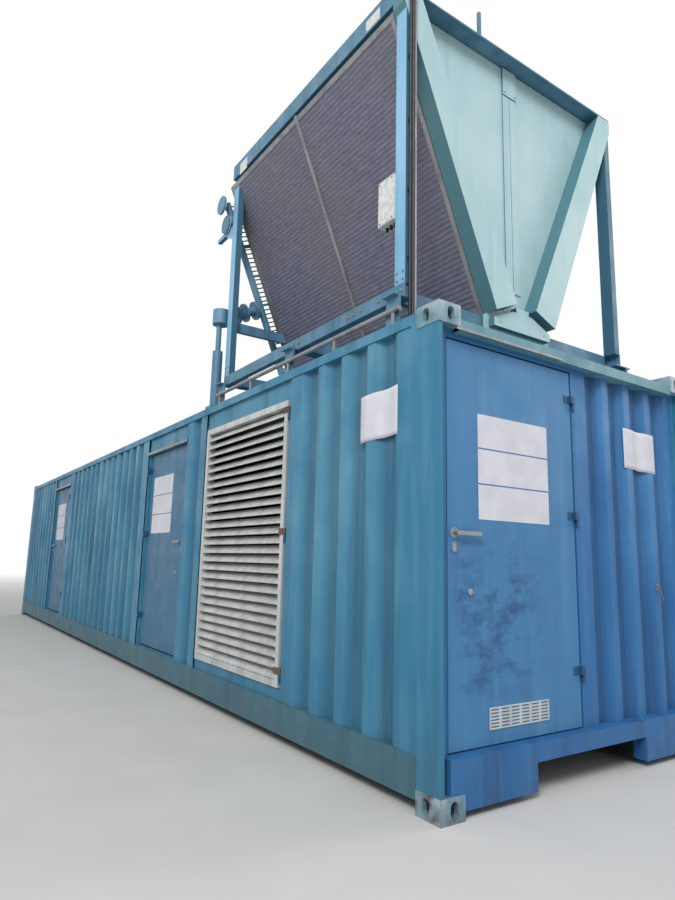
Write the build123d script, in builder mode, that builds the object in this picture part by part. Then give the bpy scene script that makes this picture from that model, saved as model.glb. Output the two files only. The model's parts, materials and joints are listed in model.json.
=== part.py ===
"""A containerised gas generator set with a V-shaped dry cooler on its roof.

Millimetres. +X is the end wall with the door, -Y the long side with the louvre,
+Z up, and the origin is the middle of the footprint at the castings' underside.
Distances named *_from_end run inwards from the +X end, and *_from_side from a long side.
"""

import os
from math import hypot

from build123d import *

# The container as a whole
container_length = 12192
container_width = 2438
container_height = 2591

# Corner castings
casting_length = 178
casting_width = 162
casting_height = 118
casting_wall = 28
aperture_from_end = 103.5
aperture_from_side = 89.5
floor_aperture_length = 124
floor_aperture_width = 63.5
face_aperture_height = 79.5
face_aperture_width = 51

# Corner posts
post_setback = 4
post_side_width = 228
post_lip = 26
post_flange_reach = 75
post_plate = 8
end_recess = 57

# Rails, sills and headers
bottom_rail_bottom = 66
bottom_rail_top = 268
bottom_rail_flange = 60
bottom_rail_plate = 6
top_rail_bottom = 2509
top_rail_size = 62
top_rail_wall = 4
sill_bottom = 40
sill_split = 182
sill_top = 280
sill_depth = 92
sill_front = 8
sill_plate = 6
header_height = 65
header_wall = 4

# Tunnel under the near end
tunnel_width = 1029
tunnel_length = 3150
tunnel_plate = 6

# Floor
floor_top = 280
floor_thickness = 28
cross_member_height = 122
cross_member_flange = 45
cross_member_plate = 5
cross_member_pitch = 600

# Walls
sheet = 2
side_wave_depth = 36
side_wave_pitch = 278
side_wave_flat = 72
side_wave_slope = 68
end_wave_depth = 45
end_wave_pitch = 250
end_wave_flat = 66
end_wave_slope = 58
side_sheet_from_side = 12
post_overlap = 28
end_sheet_gap = 4
lining_from_side = 50
lining_thickness = 60
corner_lining_gap = 2
lining_joint = 1

# Roof
roof_ridge_top = 2585
roof_wave_depth = 20
roof_wave_pitch = 209
roof_wave_flat = 91
roof_wave_slope = 13.5
roof_lining_thickness = 60

# Door openings in general
leaf_thickness = 50
leaf_gap = 10
leaf_edge_radius = 4
frame_bar = 30
stop_lip = 20
stop_thickness = 6
seal_gap = 3
side_frame_from_side = 24
side_leaf_from_side = 50
threshold_height = 8

# The end wall's door
end_door_from_side = 110
end_door_width = 1060
end_door_bottom = 296
end_door_height = 2115
end_leaf_setback = 3

# The long side's doors, named from the end with the door
near_door_from_end = 3612
near_door_width = 1109
far_door_from_end = 8740
far_door_width = 1109
side_door_bottom = 290
side_door_height = 2030
lintel_from_side = 30
lintel_plate = 6

# Louvre
louvre_from_end = 1596
louvre_width = 1474
louvre_bottom = 350
louvre_height = 2005
louvre_from_side = 8
louvre_depth = 66
louvre_bar = 46
louvre_gap = 6
bar_joint = 0.5
blade_count = 27
blade_sheet = 3
blade_lip = 14
blade_rise = 46
blade_run = 50
blade_setback = 4
blade_foot = 3

# Hinges
knuckle_radius = 10
knuckle_length = 46
knuckle_standoff = 10.5
hinge_line_offset = 14
hinge_pin_radius = 5
hinge_pin_clearance = 0.5
strap_thickness = 4
strap_reach = 60
strap_drop = 0.5
riser_inset = 6
seat_width = 20
knuckle_play = 0.3
hinge_pin_short = 4
door_hinge_heights = (0.115, 0.54, 0.885)
louvre_hinge_heights = (0.02, 0.49, 0.93)

# Door furniture
lever_height = 1068
lever_from_free_edge = 44
lever_length = 185
lever_grip_width = 22
lever_grip_thickness = 12
lever_standoff = 26
rose_radius = 27
rose_thickness = 7
spindle_radius = 9
keyhole_plate_drop = 74
lock_radius = 16
lock_thickness = 9
lock_from_lever = 112
lock_drop = 300
vent_width = 475
vent_height = 108
vent_from_free_edge = 288
vent_bottom = 73
vent_thickness = 5
vent_columns = 6
vent_rows = 6
vent_slot_width = 62
vent_slot_height = 8

# Rain gutters
gutter_sheet = 3
side_gutter_reach = 20
side_gutter_lip = 30
side_gutter_top = 2358
end_gutter_reach = 7
end_gutter_lip = 15
end_gutter_top = 2470
end_gutter_start = 134
end_gutter_end = 1028

# Dry cooler, standing on the roof at the near end
cooler_from_end = 390
cooler_length = 2583
cooler_off_centre = 22
base_frame_bottom = 2770
base_frame_top = 2860
base_half_width = 1100
base_rail_width = 50
base_rail_plate = 5
near_cross_rail_width = 50
foot_length = 120
foot_width = 60
foot_plate = 8
foot_from_side = 10
foot_riser_width = 16
foot_riser_from_side = 47
foot_positions = 3
cooler_post_width = 98
cooler_post_depth = 58
cooler_post_from_front = 4
far_beam_bottom = 3308
far_beam_top = 3396
far_beam_width = 44
far_beam_gap = 2
bracket_top = 4375
bracket_reach = 350
bracket_bar = 40
bracket_height = 140
v_half_width_at_keel = 310
v_keel_height = 2896
v_spread = 0.425
v_top_half_width = 1119
edge_channel_above_knee = 50
edge_channel_height = 142
edge_channel_depth = 50
edge_channel_plate = 4
deck_above_channel_foot = 53
deck_height = 12
deck_plate = 4
mast_y = -455
mast_width = 22
mast_height = 185
leg_foot_level = 2995
leg_foot_level_width = 243
leg_head_level_width = 191
leg_depth = 120
far_leg_width = 110
far_leg_gap = 4
leg_plate = 6
end_panel_overlap = 40
end_panel_sheet = 4
end_panel_seam_gap = 4
end_panel_seam_depth = 8
seam_foot = 3110
panel_cover_width = 144
panel_cover_height = 225
panel_cover_depth = 14
keel_half_width = 340
keel_shoulder = 2869
keel_top = 2945
keel_setback = 90
keel_plate_setback = 39
keel_plate_half_width = 289
keel_plate_bottom = 2790
keel_plate_shoulder = 2848
keel_plate_top = 2930
keel_tab_half_width = 66
keel_tab_top = 2964
coil_start_gap = 4
coil_overhang = 53
coil_casing_length = 75
coil_thickness = 110
tube_sheet = 14
tube_sheet_edge = 12
mid_strip_width = 34
mid_strip_depth = 12
mid_strip_shift = 85

# Fans on the cooler's deck
fan_radius = 450
fan_spacing_x = 1236
fan_spacing_y = 1040
shroud_sheet = 5
shroud_flange = 30
shroud_height = 150
shroud_above_deck = 60
shroud_clearance = 0.3
hub_radius = 95
hub_height = 110
blade_width = 150
blade_thickness = 6
blade_root = 10
blade_pitch_angle = 28
fan_blades = 5
blade_tip_gap = 18
guard_bar = 6
guard_rings = 4
guard_sides = 32
guard_spokes = 8

# Pipework at the cooler's far end
header_pipe_radius = 33
header_pipe_from_coil = 50
header_from_face = 70
header_foot_height = 3005
header_top_height = 4650
stub_count = 6
stub_radius = 12
stub_end_radius = 11
flange_radius = 90
flange_thickness = 20
water_pipe_radius = 44
upper_stub_heights = (4425, 4612)
upper_stub_from_side = 94
stub_pipe_radius = 29
stub_pipe_length = 10
stub_gap = 1.5
branch_height = 3655
branch_fall = 185
branch_flange_share = 0.14
valve_share = 0.4
valve_length = 90
valve_radius = 60
hood_radius = 80
hood_height = 140
riser_x = 3005
riser_from_side = 69
riser_shift = 16
riser_radius = 47.5
riser_upper_radius = 25
riser_step_height = 3130
riser_foot_plate = 8
riser_foot_half = 65

# Electrical parts on the near post and the roof's edge
junction_box_width = 160
junction_box_height = 310
junction_box_depth = 90
junction_box_reach = 10
junction_box_bottom = 3310
cable_radius = 10
cable_gap = 4
cable_from_post_edge = 24
cable_top = 4890
cable_clip_heights = (3000, 3450, 3930, 4385)
cable_clip_length = 52
cable_clip_height = 24
pale_conduit_radius = 8
pale_conduit_offset = 41
roof_conduit_radius = 16
roof_conduit_from_side = 29
roof_conduit_height = 2667
roof_conduit_start = 359
roof_conduit_end = 2946
stand_count = 5
stand_inset = 60
stand_width = 24

# Places that follow from the sizes above
half_length = container_length / 2
half_width = container_width / 2
top_rail_top = top_rail_bottom + top_rail_size
casting_top_underside = container_height - casting_height
side_sheet_inner = side_sheet_from_side + side_wave_depth + sheet
lining_inner = lining_from_side + lining_thickness
end_sheet_from_end = end_recess + post_plate
end_lining_from_end = end_sheet_from_end + end_wave_depth + sheet
end_lining_inner = end_lining_from_end + lining_thickness
roof_valley_underside = roof_ridge_top - roof_wave_depth - sheet
roof_lining_underside = roof_valley_underside - roof_lining_thickness
tunnel_half_width = tunnel_width / 2
door_gap_outside = leaf_gap + frame_bar
end_door_frame_top = end_door_bottom + end_door_height + door_gap_outside
header_bottom = end_door_frame_top
header_top = header_bottom + header_height
header_depth = end_lining_from_end - sill_front
wall_height = top_rail_bottom - bottom_rail_top
cooler_front = half_length - cooler_from_end
cooler_back = cooler_front - cooler_length
v_angle_length = hypot(1, v_spread)
keel_bottom = base_frame_bottom
coil_top_height = v_keel_height + (v_top_half_width - v_half_width_at_keel) / v_spread
edge_channel_bottom = coil_top_height + edge_channel_above_knee
deck_bottom = edge_channel_bottom + deck_above_channel_foot
deck_top = deck_bottom + deck_height


def x_at(distance_from_end):
    """X of a point that far inwards from the end with the door."""
    return half_length - distance_from_end


def y_at(distance_from_side):
    """Y of a point that far inwards from the long side with the louvre."""
    return distance_from_side - half_width


def v_half_width(height):
    """Half the width over the outer faces of the V at that height."""
    return v_half_width_at_keel + v_spread * (height - v_keel_height)


def wave_points(start, end, outer, inner, pitch, flat, slope):
    """Outline of one face of a corrugated sheet from start to end, as (run, depth) points."""
    valley = pitch - flat - 2 * slope
    waves = int((end - start - flat) // pitch)
    margin = (end - start - waves * pitch - flat) / 2
    points = [(start, outer)]
    for wave in range(waves):
        crest_end = start + margin + flat + wave * pitch
        points.append((crest_end, outer))
        points.append((crest_end + slope, inner))
        points.append((crest_end + slope + valley, inner))
        points.append((crest_end + 2 * slope + valley, outer))
    points.append((end, outer))
    return points


def sheet_outline(points, thickness):
    """Closes a face's points with the same points moved by the sheet's thickness."""
    return points + [(run, depth + thickness) for run, depth in reversed(points)]


def side_sheet(start_from_end, end_from_end, side):
    """One corrugated sheet of a long wall, standing between the rails. side is -1 or +1."""
    points = wave_points(
        start_from_end, end_from_end, side_sheet_from_side, side_sheet_from_side + side_wave_depth,
        side_wave_pitch, side_wave_flat, side_wave_slope,
    )
    outline = [(x_at(run), side * (half_width - depth)) for run, depth in sheet_outline(points, sheet)]
    with BuildSketch(Plane.XY.offset(bottom_rail_top)) as section:
        with BuildLine():
            Polyline(*outline, close=True)
        make_face()
    extrude(section.sketch, amount=wall_height)


def end_sheet(start_from_side, end_from_side, end, top):
    """One corrugated sheet of an end wall. end is +1 at the door's end, -1 at the other."""
    points = wave_points(
        start_from_side, end_from_side, end_sheet_from_end, end_sheet_from_end + end_wave_depth,
        end_wave_pitch, end_wave_flat, end_wave_slope,
    )
    outline = [(end * (half_length - depth), y_at(run)) for run, depth in sheet_outline(points, sheet)]
    with BuildSketch(Plane.XY.offset(sill_top)) as section:
        with BuildLine():
            Polyline(*outline, close=True)
        make_face()
    extrude(section.sketch, amount=top - sill_top)


def block(x_low, x_high, y_low, y_high, z_low, z_high, mode=Mode.ADD):
    """A plain slab or bar between two corners."""
    with Locations((x_low, y_low, z_low)):
        Box(x_high - x_low, y_high - y_low, z_high - z_low, align=(Align.MIN,) * 3, mode=mode)


def clear_of_top_castings():
    """Cuts the present part back to the inner faces of the four upper castings."""
    for end in (-1, 1):
        for side in (-1, 1):
            x_low, x_high = sorted((end * (half_length - casting_length), end * half_length))
            y_low, y_high = sorted((side * (half_width - casting_width), side * half_width))
            block(
                x_low, x_high, y_low, y_high, casting_top_underside, container_height, Mode.SUBTRACT
            )


def bent_plate(points, thickness, side=Side.LEFT):
    """A face of that thickness along one side of a bent line."""
    with BuildLine() as edge:
        Polyline(*points)
        offset(amount=thickness, side=side)
    make_face(edge.edges())


# Corner castings: hollow blocks, each with a slot below or above and an oval on two sides
aperture_spacing_x = container_length - 2 * aperture_from_end
aperture_spacing_y = container_width - 2 * aperture_from_side
aperture_grid = GridLocations(aperture_spacing_x, aperture_spacing_y, 2, 2)
casting_grid = GridLocations(
    container_length - casting_length, container_width - casting_width, 2, 2
)


def corner_castings(bottom, outward_plane):
    """Four castings from that height up. outward_plane is where their slots open."""
    with BuildSketch(Plane.XY.offset(bottom)) as section:
        with casting_grid:
            Rectangle(casting_length, casting_width)
    extrude(section.sketch, amount=casting_height)
    with BuildSketch(Plane.XY.offset(bottom + casting_wall)) as section:
        with casting_grid:
            Rectangle(casting_length - 2 * casting_wall, casting_width - 2 * casting_wall)
    extrude(section.sketch, amount=casting_height - 2 * casting_wall, mode=Mode.SUBTRACT)
    with BuildSketch(outward_plane) as section:
        with aperture_grid:
            SlotOverall(floor_aperture_length, floor_aperture_width)
    extrude(section.sketch, amount=-casting_wall, mode=Mode.SUBTRACT)
    middle = bottom + casting_height / 2
    for side in (-1, 1):
        side_face = Plane(origin=(0, side * half_width, middle), x_dir=(1, 0, 0), z_dir=(0, side, 0))
        with BuildSketch(side_face) as section:
            with GridLocations(aperture_spacing_x, 0, 2, 1):
                SlotOverall(face_aperture_height, face_aperture_width, rotation=90)
        extrude(section.sketch, amount=-casting_wall, mode=Mode.SUBTRACT)
        end_face = Plane(origin=(side * half_length, 0, middle), x_dir=(0, 1, 0), z_dir=(side, 0, 0))
        with BuildSketch(end_face) as section:
            with GridLocations(aperture_spacing_y, 0, 2, 1):
                SlotOverall(face_aperture_height, face_aperture_width, rotation=90)
        extrude(section.sketch, amount=-casting_wall, mode=Mode.SUBTRACT)


with BuildPart() as bottom_castings:
    corner_castings(0, Plane.XY.rotated((180, 0, 0)))

with BuildPart() as top_castings:
    corner_castings(casting_top_underside, Plane.XY.offset(container_height))

# Corner posts: folded plates that step back to the end wall's recess
post_outline = [
    (post_side_width, post_setback),
    (post_setback, post_setback),
    (post_setback, post_setback + post_lip),
    (end_recess, post_setback + post_lip),
    (end_recess, post_flange_reach),
]

with BuildPart() as corner_posts:
    with BuildSketch(Plane.XY.offset(casting_height)) as post_section:
        for end in (-1, 1):
            for side in (-1, 1):
                placed = [
                    (end * (half_length - d), side * (half_width - s)) for d, s in post_outline
                ]
                bent_plate(placed, post_plate, Side.LEFT if end * side < 0 else Side.RIGHT)
    extrude(amount=top_rail_bottom - casting_height)
    clear_of_top_castings()
    for end in (-1, 1):
        for side in (-1, 1):
            x_low, x_high = sorted((end * (half_length - casting_length), end * x_at(post_side_width)))
            y_low, y_high = sorted((side * (half_width - casting_width), side * half_width))
            block(x_low, x_high, y_low, y_high, 0, bottom_rail_top, Mode.SUBTRACT)

# Bottom side rails: channels open towards the middle, between the castings
with BuildPart() as bottom_side_rails:
    for side in (-1, 1):
        outer = side * (half_width - post_setback)
        inner = outer - side * bottom_rail_flange
        with BuildSketch(Plane.YZ.offset(casting_length - half_length)):
            bent_plate(
                [
                    (inner, bottom_rail_bottom),
                    (outer, bottom_rail_bottom),
                    (outer, bottom_rail_top),
                    (inner, bottom_rail_top),
                ],
                bottom_rail_plate,
                Side.LEFT if side > 0 else Side.RIGHT,
            )
        extrude(amount=container_length - 2 * casting_length)

# Top side rails: square tubes between the upper castings
with BuildPart() as top_side_rails:
    for side in (-1, 1):
        middle_y = side * (half_width - post_setback - top_rail_size / 2)
        with BuildSketch(Plane.YZ.offset(casting_length - half_length)):
            with Locations((middle_y, top_rail_bottom + top_rail_size / 2)):
                Rectangle(top_rail_size, top_rail_size)
                Rectangle(
                    top_rail_size - 2 * top_rail_wall, top_rail_size - 2 * top_rail_wall,
                    mode=Mode.SUBTRACT,
                )
        extrude(amount=container_length - 2 * casting_length)

# End headers: tubes across each end, above the wall
with BuildPart() as end_headers:
    for end in (-1, 1):
        middle_x = end * (half_length - sill_front - header_depth / 2)
        header_span = container_width - 2 * casting_width
        with BuildSketch(Plane.XZ.offset(-header_span / 2)):
            with Locations((middle_x, (header_bottom + header_top) / 2)):
                Rectangle(header_depth, header_top - header_bottom)
                Rectangle(
                    header_depth - 2 * header_wall, header_top - header_bottom - 2 * header_wall,
                    mode=Mode.SUBTRACT,
                )
        extrude(amount=header_span)

# End sills: folded trays, the near one with feet either side of the tunnel
sill_reach = half_width - post_flange_reach
foot_outer = half_width - casting_width


def sill_tray(end, outline):
    """A tray whose flat face looks outwards at that end."""
    face = Plane(
        origin=(end * (half_length - sill_front), 0, 0), x_dir=(0, end, 0), z_dir=(end, 0, 0)
    )
    with BuildSketch(face) as section:
        with BuildLine():
            Polyline(*outline, close=True)
        make_face()
    extrude(section.sketch, amount=-sill_depth)
    with BuildSketch(face.offset(-sill_plate)) as section:
        with BuildLine():
            Polyline(*outline, close=True)
        make_face()
        offset(amount=-sill_plate, mode=Mode.REPLACE, kind=Kind.INTERSECTION)
    extrude(section.sketch, amount=sill_plate - sill_depth, mode=Mode.SUBTRACT)


with BuildPart() as end_sill_beams:
    for end in (-1, 1):
        sill_tray(
            end,
            [
                (-sill_reach, sill_split), (sill_reach, sill_split),
                (sill_reach, sill_top), (-sill_reach, sill_top),
            ],
        )

with BuildPart() as end_sill_feet:
    for side in (-1, 1):
        sill_tray(
            1,
            [
                (side * foot_outer, sill_bottom), (side * tunnel_half_width, sill_bottom),
                (side * tunnel_half_width, sill_split), (side * sill_reach, sill_split),
                (side * sill_reach, casting_height), (side * foot_outer, casting_height),
            ],
        )
    sill_tray(
        -1,
        [
            (-foot_outer, sill_bottom), (foot_outer, sill_bottom), (foot_outer, casting_height),
            (sill_reach, casting_height), (sill_reach, sill_split), (-sill_reach, sill_split),
            (-sill_reach, casting_height), (-foot_outer, casting_height),
        ],
    )

# Tunnel: a folded plate open below, running in from the near sill
with BuildPart() as gooseneck_tunnel:
    with BuildSketch(Plane.YZ.offset(half_length - sill_front - sill_depth)):
        bent_plate(
            [
                (-tunnel_half_width, sill_bottom), (-tunnel_half_width, sill_split),
                (tunnel_half_width, sill_split), (tunnel_half_width, sill_bottom),
            ],
            tunnel_plate,
            Side.LEFT,
        )
    extrude(amount=-tunnel_length)

# Cross members: channels from rail to rail, shallow ones over the tunnel
cross_top = floor_top - floor_thickness
cross_half = half_width - post_setback - bottom_rail_plate
tunnel_end = sill_front + sill_depth + tunnel_length
shallow_bottom = sill_split + tunnel_plate


def cross_member(from_end, bottom):
    """One channel across the floor, open towards the far end."""
    x = x_at(from_end)
    with BuildSketch(Plane.XZ.offset(-cross_half)) as section:
        bent_plate(
            [
                (x - cross_member_flange, bottom), (x, bottom),
                (x, cross_top), (x - cross_member_flange, cross_top),
            ],
            cross_member_plate,
            Side.LEFT,
        )
    extrude(section.sketch, amount=2 * cross_half)


with BuildPart() as floor_cross_members:
    deep_count = int((container_length - tunnel_end - 2 * cross_member_pitch) // cross_member_pitch) + 1
    for index in range(deep_count):
        cross_member(
            tunnel_end + cross_member_pitch * (index + 1), cross_top - cross_member_height
        )
    shallow_count = int(tunnel_length // cross_member_pitch)
    for index in range(shallow_count):
        cross_member(
            sill_front + sill_depth + cross_member_pitch * (index + 0.5), shallow_bottom
        )

# Floor: one deck from end to end between the sills
with BuildPart() as floor_deck:
    floor_half_width = half_width - lining_inner
    floor_half_length = half_length - sill_front - sill_depth
    block(
        -floor_half_length, floor_half_length, -floor_half_width, floor_half_width,
        cross_top, floor_top,
    )

# Long walls: corrugated sheets between the posts, the louvre and the doors
sheet_near_edge = post_side_width - post_overlap
louvre_surround_near = louvre_from_end - louvre_gap - frame_bar
louvre_surround_far = louvre_from_end + louvre_width + louvre_gap + frame_bar
near_frame_near = near_door_from_end - door_gap_outside
near_frame_far = near_door_from_end + near_door_width + door_gap_outside
far_frame_near = far_door_from_end - door_gap_outside
far_frame_far = far_door_from_end + far_door_width + door_gap_outside
sheet_far_edge = container_length - sheet_near_edge

with BuildPart() as front_wall_sheets:
    side_sheet(sheet_near_edge, louvre_surround_near, -1)
    side_sheet(louvre_surround_far, near_frame_near, -1)
    side_sheet(near_frame_far, far_frame_near, -1)
    side_sheet(far_frame_far, sheet_far_edge, -1)

with BuildPart() as back_wall_sheet:
    side_sheet(sheet_near_edge, sheet_far_edge, 1)

# End walls: the near one stands beside the door, the far one fills its end
end_frame_far = end_door_from_side + end_door_width + door_gap_outside
end_sheet_far_edge = container_width - post_setback - post_lip - end_sheet_gap

with BuildPart() as end_wall_sheets:
    end_sheet(end_frame_far, end_sheet_far_edge, 1, header_bottom)
    end_sheet(container_width - end_sheet_far_edge, end_sheet_far_edge, -1, header_bottom)
    clear_of_top_castings()

# Wall lining: flat absorbing panels behind the sheets
lining_top = roof_lining_underside
end_lining_top = header_top - sheet


def side_lining(start_from_end, end_from_end, side, bottom=bottom_rail_top):
    """One flat panel behind a long wall, up to the roof's lining."""
    low = side * (half_width - lining_from_side)
    high = side * (half_width - lining_inner)
    block(x_at(end_from_end), x_at(start_from_end), min(low, high), max(low, high), bottom, lining_top)


side_door_frame_top = side_door_bottom + side_door_height + door_gap_outside
louvre_surround_top = louvre_bottom + louvre_height + louvre_gap + frame_bar
lining_near_edge = end_lining_inner + corner_lining_gap
lining_far_edge = container_length - lining_near_edge

with BuildPart() as front_wall_lining:
    side_lining(lining_near_edge, louvre_surround_near, -1)
    side_lining(louvre_surround_far, near_frame_near, -1)
    side_lining(near_frame_far, far_frame_near, -1)
    side_lining(far_frame_far, lining_far_edge, -1)
    clear_of_top_castings()

with BuildPart() as lintel_lining:
    side_lining(
        louvre_surround_near + lining_joint, louvre_surround_far - lining_joint, -1, louvre_surround_top
    )
    side_lining(near_frame_near + lining_joint, near_frame_far - lining_joint, -1, side_door_frame_top)
    side_lining(far_frame_near + lining_joint, far_frame_far - lining_joint, -1, side_door_frame_top)
    block(
        x_at(end_lining_inner), x_at(end_lining_from_end), y_at(lining_inner),
        y_at(end_frame_far) - lining_joint, end_door_frame_top, end_lining_top,
    )
    clear_of_top_castings()

with BuildPart() as back_wall_lining:
    side_lining(lining_near_edge, lining_far_edge, 1)
    clear_of_top_castings()

with BuildPart() as end_wall_linings:
    block(
        x_at(end_lining_inner), x_at(end_lining_from_end), y_at(end_frame_far),
        half_width - lining_from_side, floor_top, end_lining_top,
    )
    block(
        -x_at(end_lining_from_end), -x_at(end_lining_inner), y_at(lining_from_side),
        half_width - lining_from_side, floor_top, end_lining_top,
    )
    clear_of_top_castings()

# Roof: a sheet corrugated across the container, stepped down behind the headers, and its lining
roof_half_width = half_width - post_setback - top_rail_size
roof_half_length = half_length - casting_length

with BuildPart() as roof_sheet:
    roof_points = wave_points(
        -roof_half_length, roof_half_length, roof_ridge_top, roof_ridge_top - roof_wave_depth,
        roof_wave_pitch, roof_wave_flat, roof_wave_slope,
    )
    with BuildSketch(Plane.XZ.offset(-roof_half_width)):
        with BuildLine():
            Polyline(*sheet_outline(roof_points, -sheet), close=True)
        make_face()
    extrude(amount=2 * roof_half_width)
    for end in (-1, 1):
        x_low, x_high = sorted((end * roof_half_length, end * (roof_half_length - sheet)))
        block(x_low, x_high, -roof_half_width, roof_half_width, end_lining_top, roof_ridge_top)
        x_low, x_high = sorted((end * (roof_half_length - sheet), end * x_at(end_lining_from_end)))
        block(x_low, x_high, -roof_half_width, roof_half_width, end_lining_top, header_top)
    clear_of_top_castings()

with BuildPart() as roof_lining:
    block(
        sheet - roof_half_length, roof_half_length - sheet, -roof_half_width, roof_half_width,
        roof_lining_underside, roof_valley_underside,
    )
    clear_of_top_castings()

# Door openings: each has a face plane, where local x runs along the wall and local z outwards


def side_plane(from_side, from_end_of_left_edge, bottom):
    """Face plane on the long side, with its origin at an opening's lower left corner."""
    return Plane(
        origin=(x_at(from_end_of_left_edge), y_at(from_side), bottom),
        x_dir=(1, 0, 0), z_dir=(0, -1, 0),
    )


def end_plane(from_end, left_edge_from_side, bottom):
    """Face plane on the end wall, with its origin at an opening's lower left corner."""
    return Plane(
        origin=(x_at(from_end), y_at(left_edge_from_side), bottom), x_dir=(0, 1, 0), z_dir=(1, 0, 0)
    )


class Opening:
    """A door's leaf and the frame round it, in the frame's own face plane."""

    def __init__(self, plane, width, height, setback, frame_depth, hinge_right):
        self.plane = plane
        self.width = width
        self.height = height
        self.setback = setback
        self.frame_depth = frame_depth
        self.hinge_right = hinge_right
        self.leaf_plane = plane.offset(-setback)
        self.hinge_sign = 1 if hinge_right else -1
        self.hinge_x = width + hinge_line_offset if hinge_right else -hinge_line_offset

    def from_free_edge(self, distance):
        """Local x at that distance from the edge that swings."""
        return distance if self.hinge_right else self.width - distance


side_frame_depth = lining_inner - side_frame_from_side
end_frame_depth = end_lining_inner - end_recess
near_door = Opening(
    side_plane(side_frame_from_side, near_door_from_end + near_door_width, side_door_bottom),
    near_door_width, side_door_height, side_leaf_from_side - side_frame_from_side,
    side_frame_depth, False,
)
far_door = Opening(
    side_plane(side_frame_from_side, far_door_from_end + far_door_width, side_door_bottom),
    far_door_width, side_door_height, side_leaf_from_side - side_frame_from_side,
    side_frame_depth, True,
)
end_door = Opening(
    end_plane(end_recess, end_door_from_side, end_door_bottom),
    end_door_width, end_door_height, end_leaf_setback, end_frame_depth, True,
)
louvre_door = Opening(
    side_plane(side_frame_from_side, louvre_from_end + louvre_width, louvre_bottom),
    louvre_width, louvre_height, louvre_from_side - side_frame_from_side, side_frame_depth, True,
)


def frame_jambs(opening, gap, foot, left_bar=frame_bar, right_bar=frame_bar):
    """Two upright bars beside an opening, each with a stop behind the leaf."""
    head = opening.height + gap + frame_bar
    for left, bar in ((True, left_bar), (False, right_bar)):
        inner = -gap if left else opening.width + gap
        outer = inner - bar if left else inner + bar
        lip = inner + stop_lip if left else inner - stop_lip
        stop_start = opening.setback + leaf_thickness + seal_gap
        stop_foot = foot - threshold_height
        with BuildSketch(opening.plane) as section:
            with Locations(((inner + outer) / 2, (head - foot) / 2)):
                Rectangle(bar, head + foot)
        extrude(section.sketch, amount=-opening.frame_depth)
        with BuildSketch(opening.plane.offset(-stop_start)) as section:
            with Locations(((inner + lip) / 2, (head - frame_bar - stop_foot) / 2)):
                Rectangle(stop_lip, head - frame_bar + stop_foot)
        extrude(section.sketch, amount=-stop_thickness)


with BuildPart() as door_jambs:
    foot_depth = side_door_bottom - bottom_rail_top
    frame_jambs(near_door, leaf_gap, foot_depth)
    frame_jambs(far_door, leaf_gap, foot_depth)
    frame_jambs(
        end_door, leaf_gap, end_door_bottom - sill_top,
        left_bar=end_door_from_side - leaf_gap - post_flange_reach,
    )


def frame_head_and_threshold(opening, foot):
    """The bars above and below a door, set between its jambs."""
    span = opening.width + 2 * (leaf_gap - bar_joint)
    middle = opening.width / 2
    with BuildSketch(opening.plane) as section:
        with Locations((middle, opening.height + leaf_gap + frame_bar / 2)):
            Rectangle(span, frame_bar)
        with Locations((middle, -foot + threshold_height / 2)):
            Rectangle(span, threshold_height)
    extrude(section.sketch, amount=-opening.frame_depth)


with BuildPart() as door_heads:
    frame_head_and_threshold(near_door, foot_depth)
    frame_head_and_threshold(far_door, foot_depth)
    frame_head_and_threshold(end_door, end_door_bottom - sill_top)

# Louvre surround: a fixed ring in the wall, down to the bottom rail
with BuildPart() as louvre_surround:
    surround_foot = louvre_bottom - bottom_rail_top
    for x_middle in (-louvre_gap - frame_bar / 2, louvre_width + louvre_gap + frame_bar / 2):
        with BuildSketch(louvre_door.plane):
            with Locations((x_middle, (louvre_height + louvre_gap + frame_bar - surround_foot) / 2)):
                Rectangle(frame_bar, louvre_height + louvre_gap + frame_bar + surround_foot)
        extrude(amount=-side_frame_depth)
    with BuildSketch(louvre_door.plane):
        with Locations((louvre_width / 2, louvre_height + louvre_gap + frame_bar / 2)):
            Rectangle(louvre_width + 2 * (louvre_gap - bar_joint), frame_bar)
        with Locations((louvre_width / 2, -(surround_foot + louvre_gap) / 2)):
            Rectangle(louvre_width + 2 * (louvre_gap - bar_joint), surround_foot - louvre_gap)
    extrude(amount=-side_frame_depth)

# Lintels: flat plates from the frames up to the top rail, and fillers beside the headers
with BuildPart() as lintel_plates:
    for near_edge, far_edge, foot in (
        (louvre_surround_near, louvre_surround_far, louvre_surround_top),
        (near_frame_near, near_frame_far, side_door_frame_top),
        (far_frame_near, far_frame_far, side_door_frame_top),
    ):
        block(
            x_at(far_edge), x_at(near_edge), y_at(lintel_from_side),
            y_at(lintel_from_side + lintel_plate), foot, top_rail_bottom,
        )
    for end in (-1, 1):
        for side in (-1, 1):
            x_low, x_high = sorted((end * x_at(end_recess + lintel_plate), end * x_at(end_recess)))
            y_low, y_high = sorted(
                (side * (half_width - casting_width), side * (half_width - post_flange_reach))
            )
            block(x_low, x_high, y_low, y_high, header_bottom, casting_top_underside)


def gutter(plane, start, end, height, reach, lip):
    """An angle strip that throws rain clear, on that face plane."""
    run = Plane(
        origin=plane.from_local_coords(Vector(start, height, 0)), x_dir=plane.z_dir, z_dir=-plane.x_dir
    )
    with BuildSketch(run) as section:
        bent_plate([(0, 0), (reach, 0), (reach, -lip)], gutter_sheet, Side.RIGHT)
    extrude(section.sketch, amount=start - end)


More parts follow.
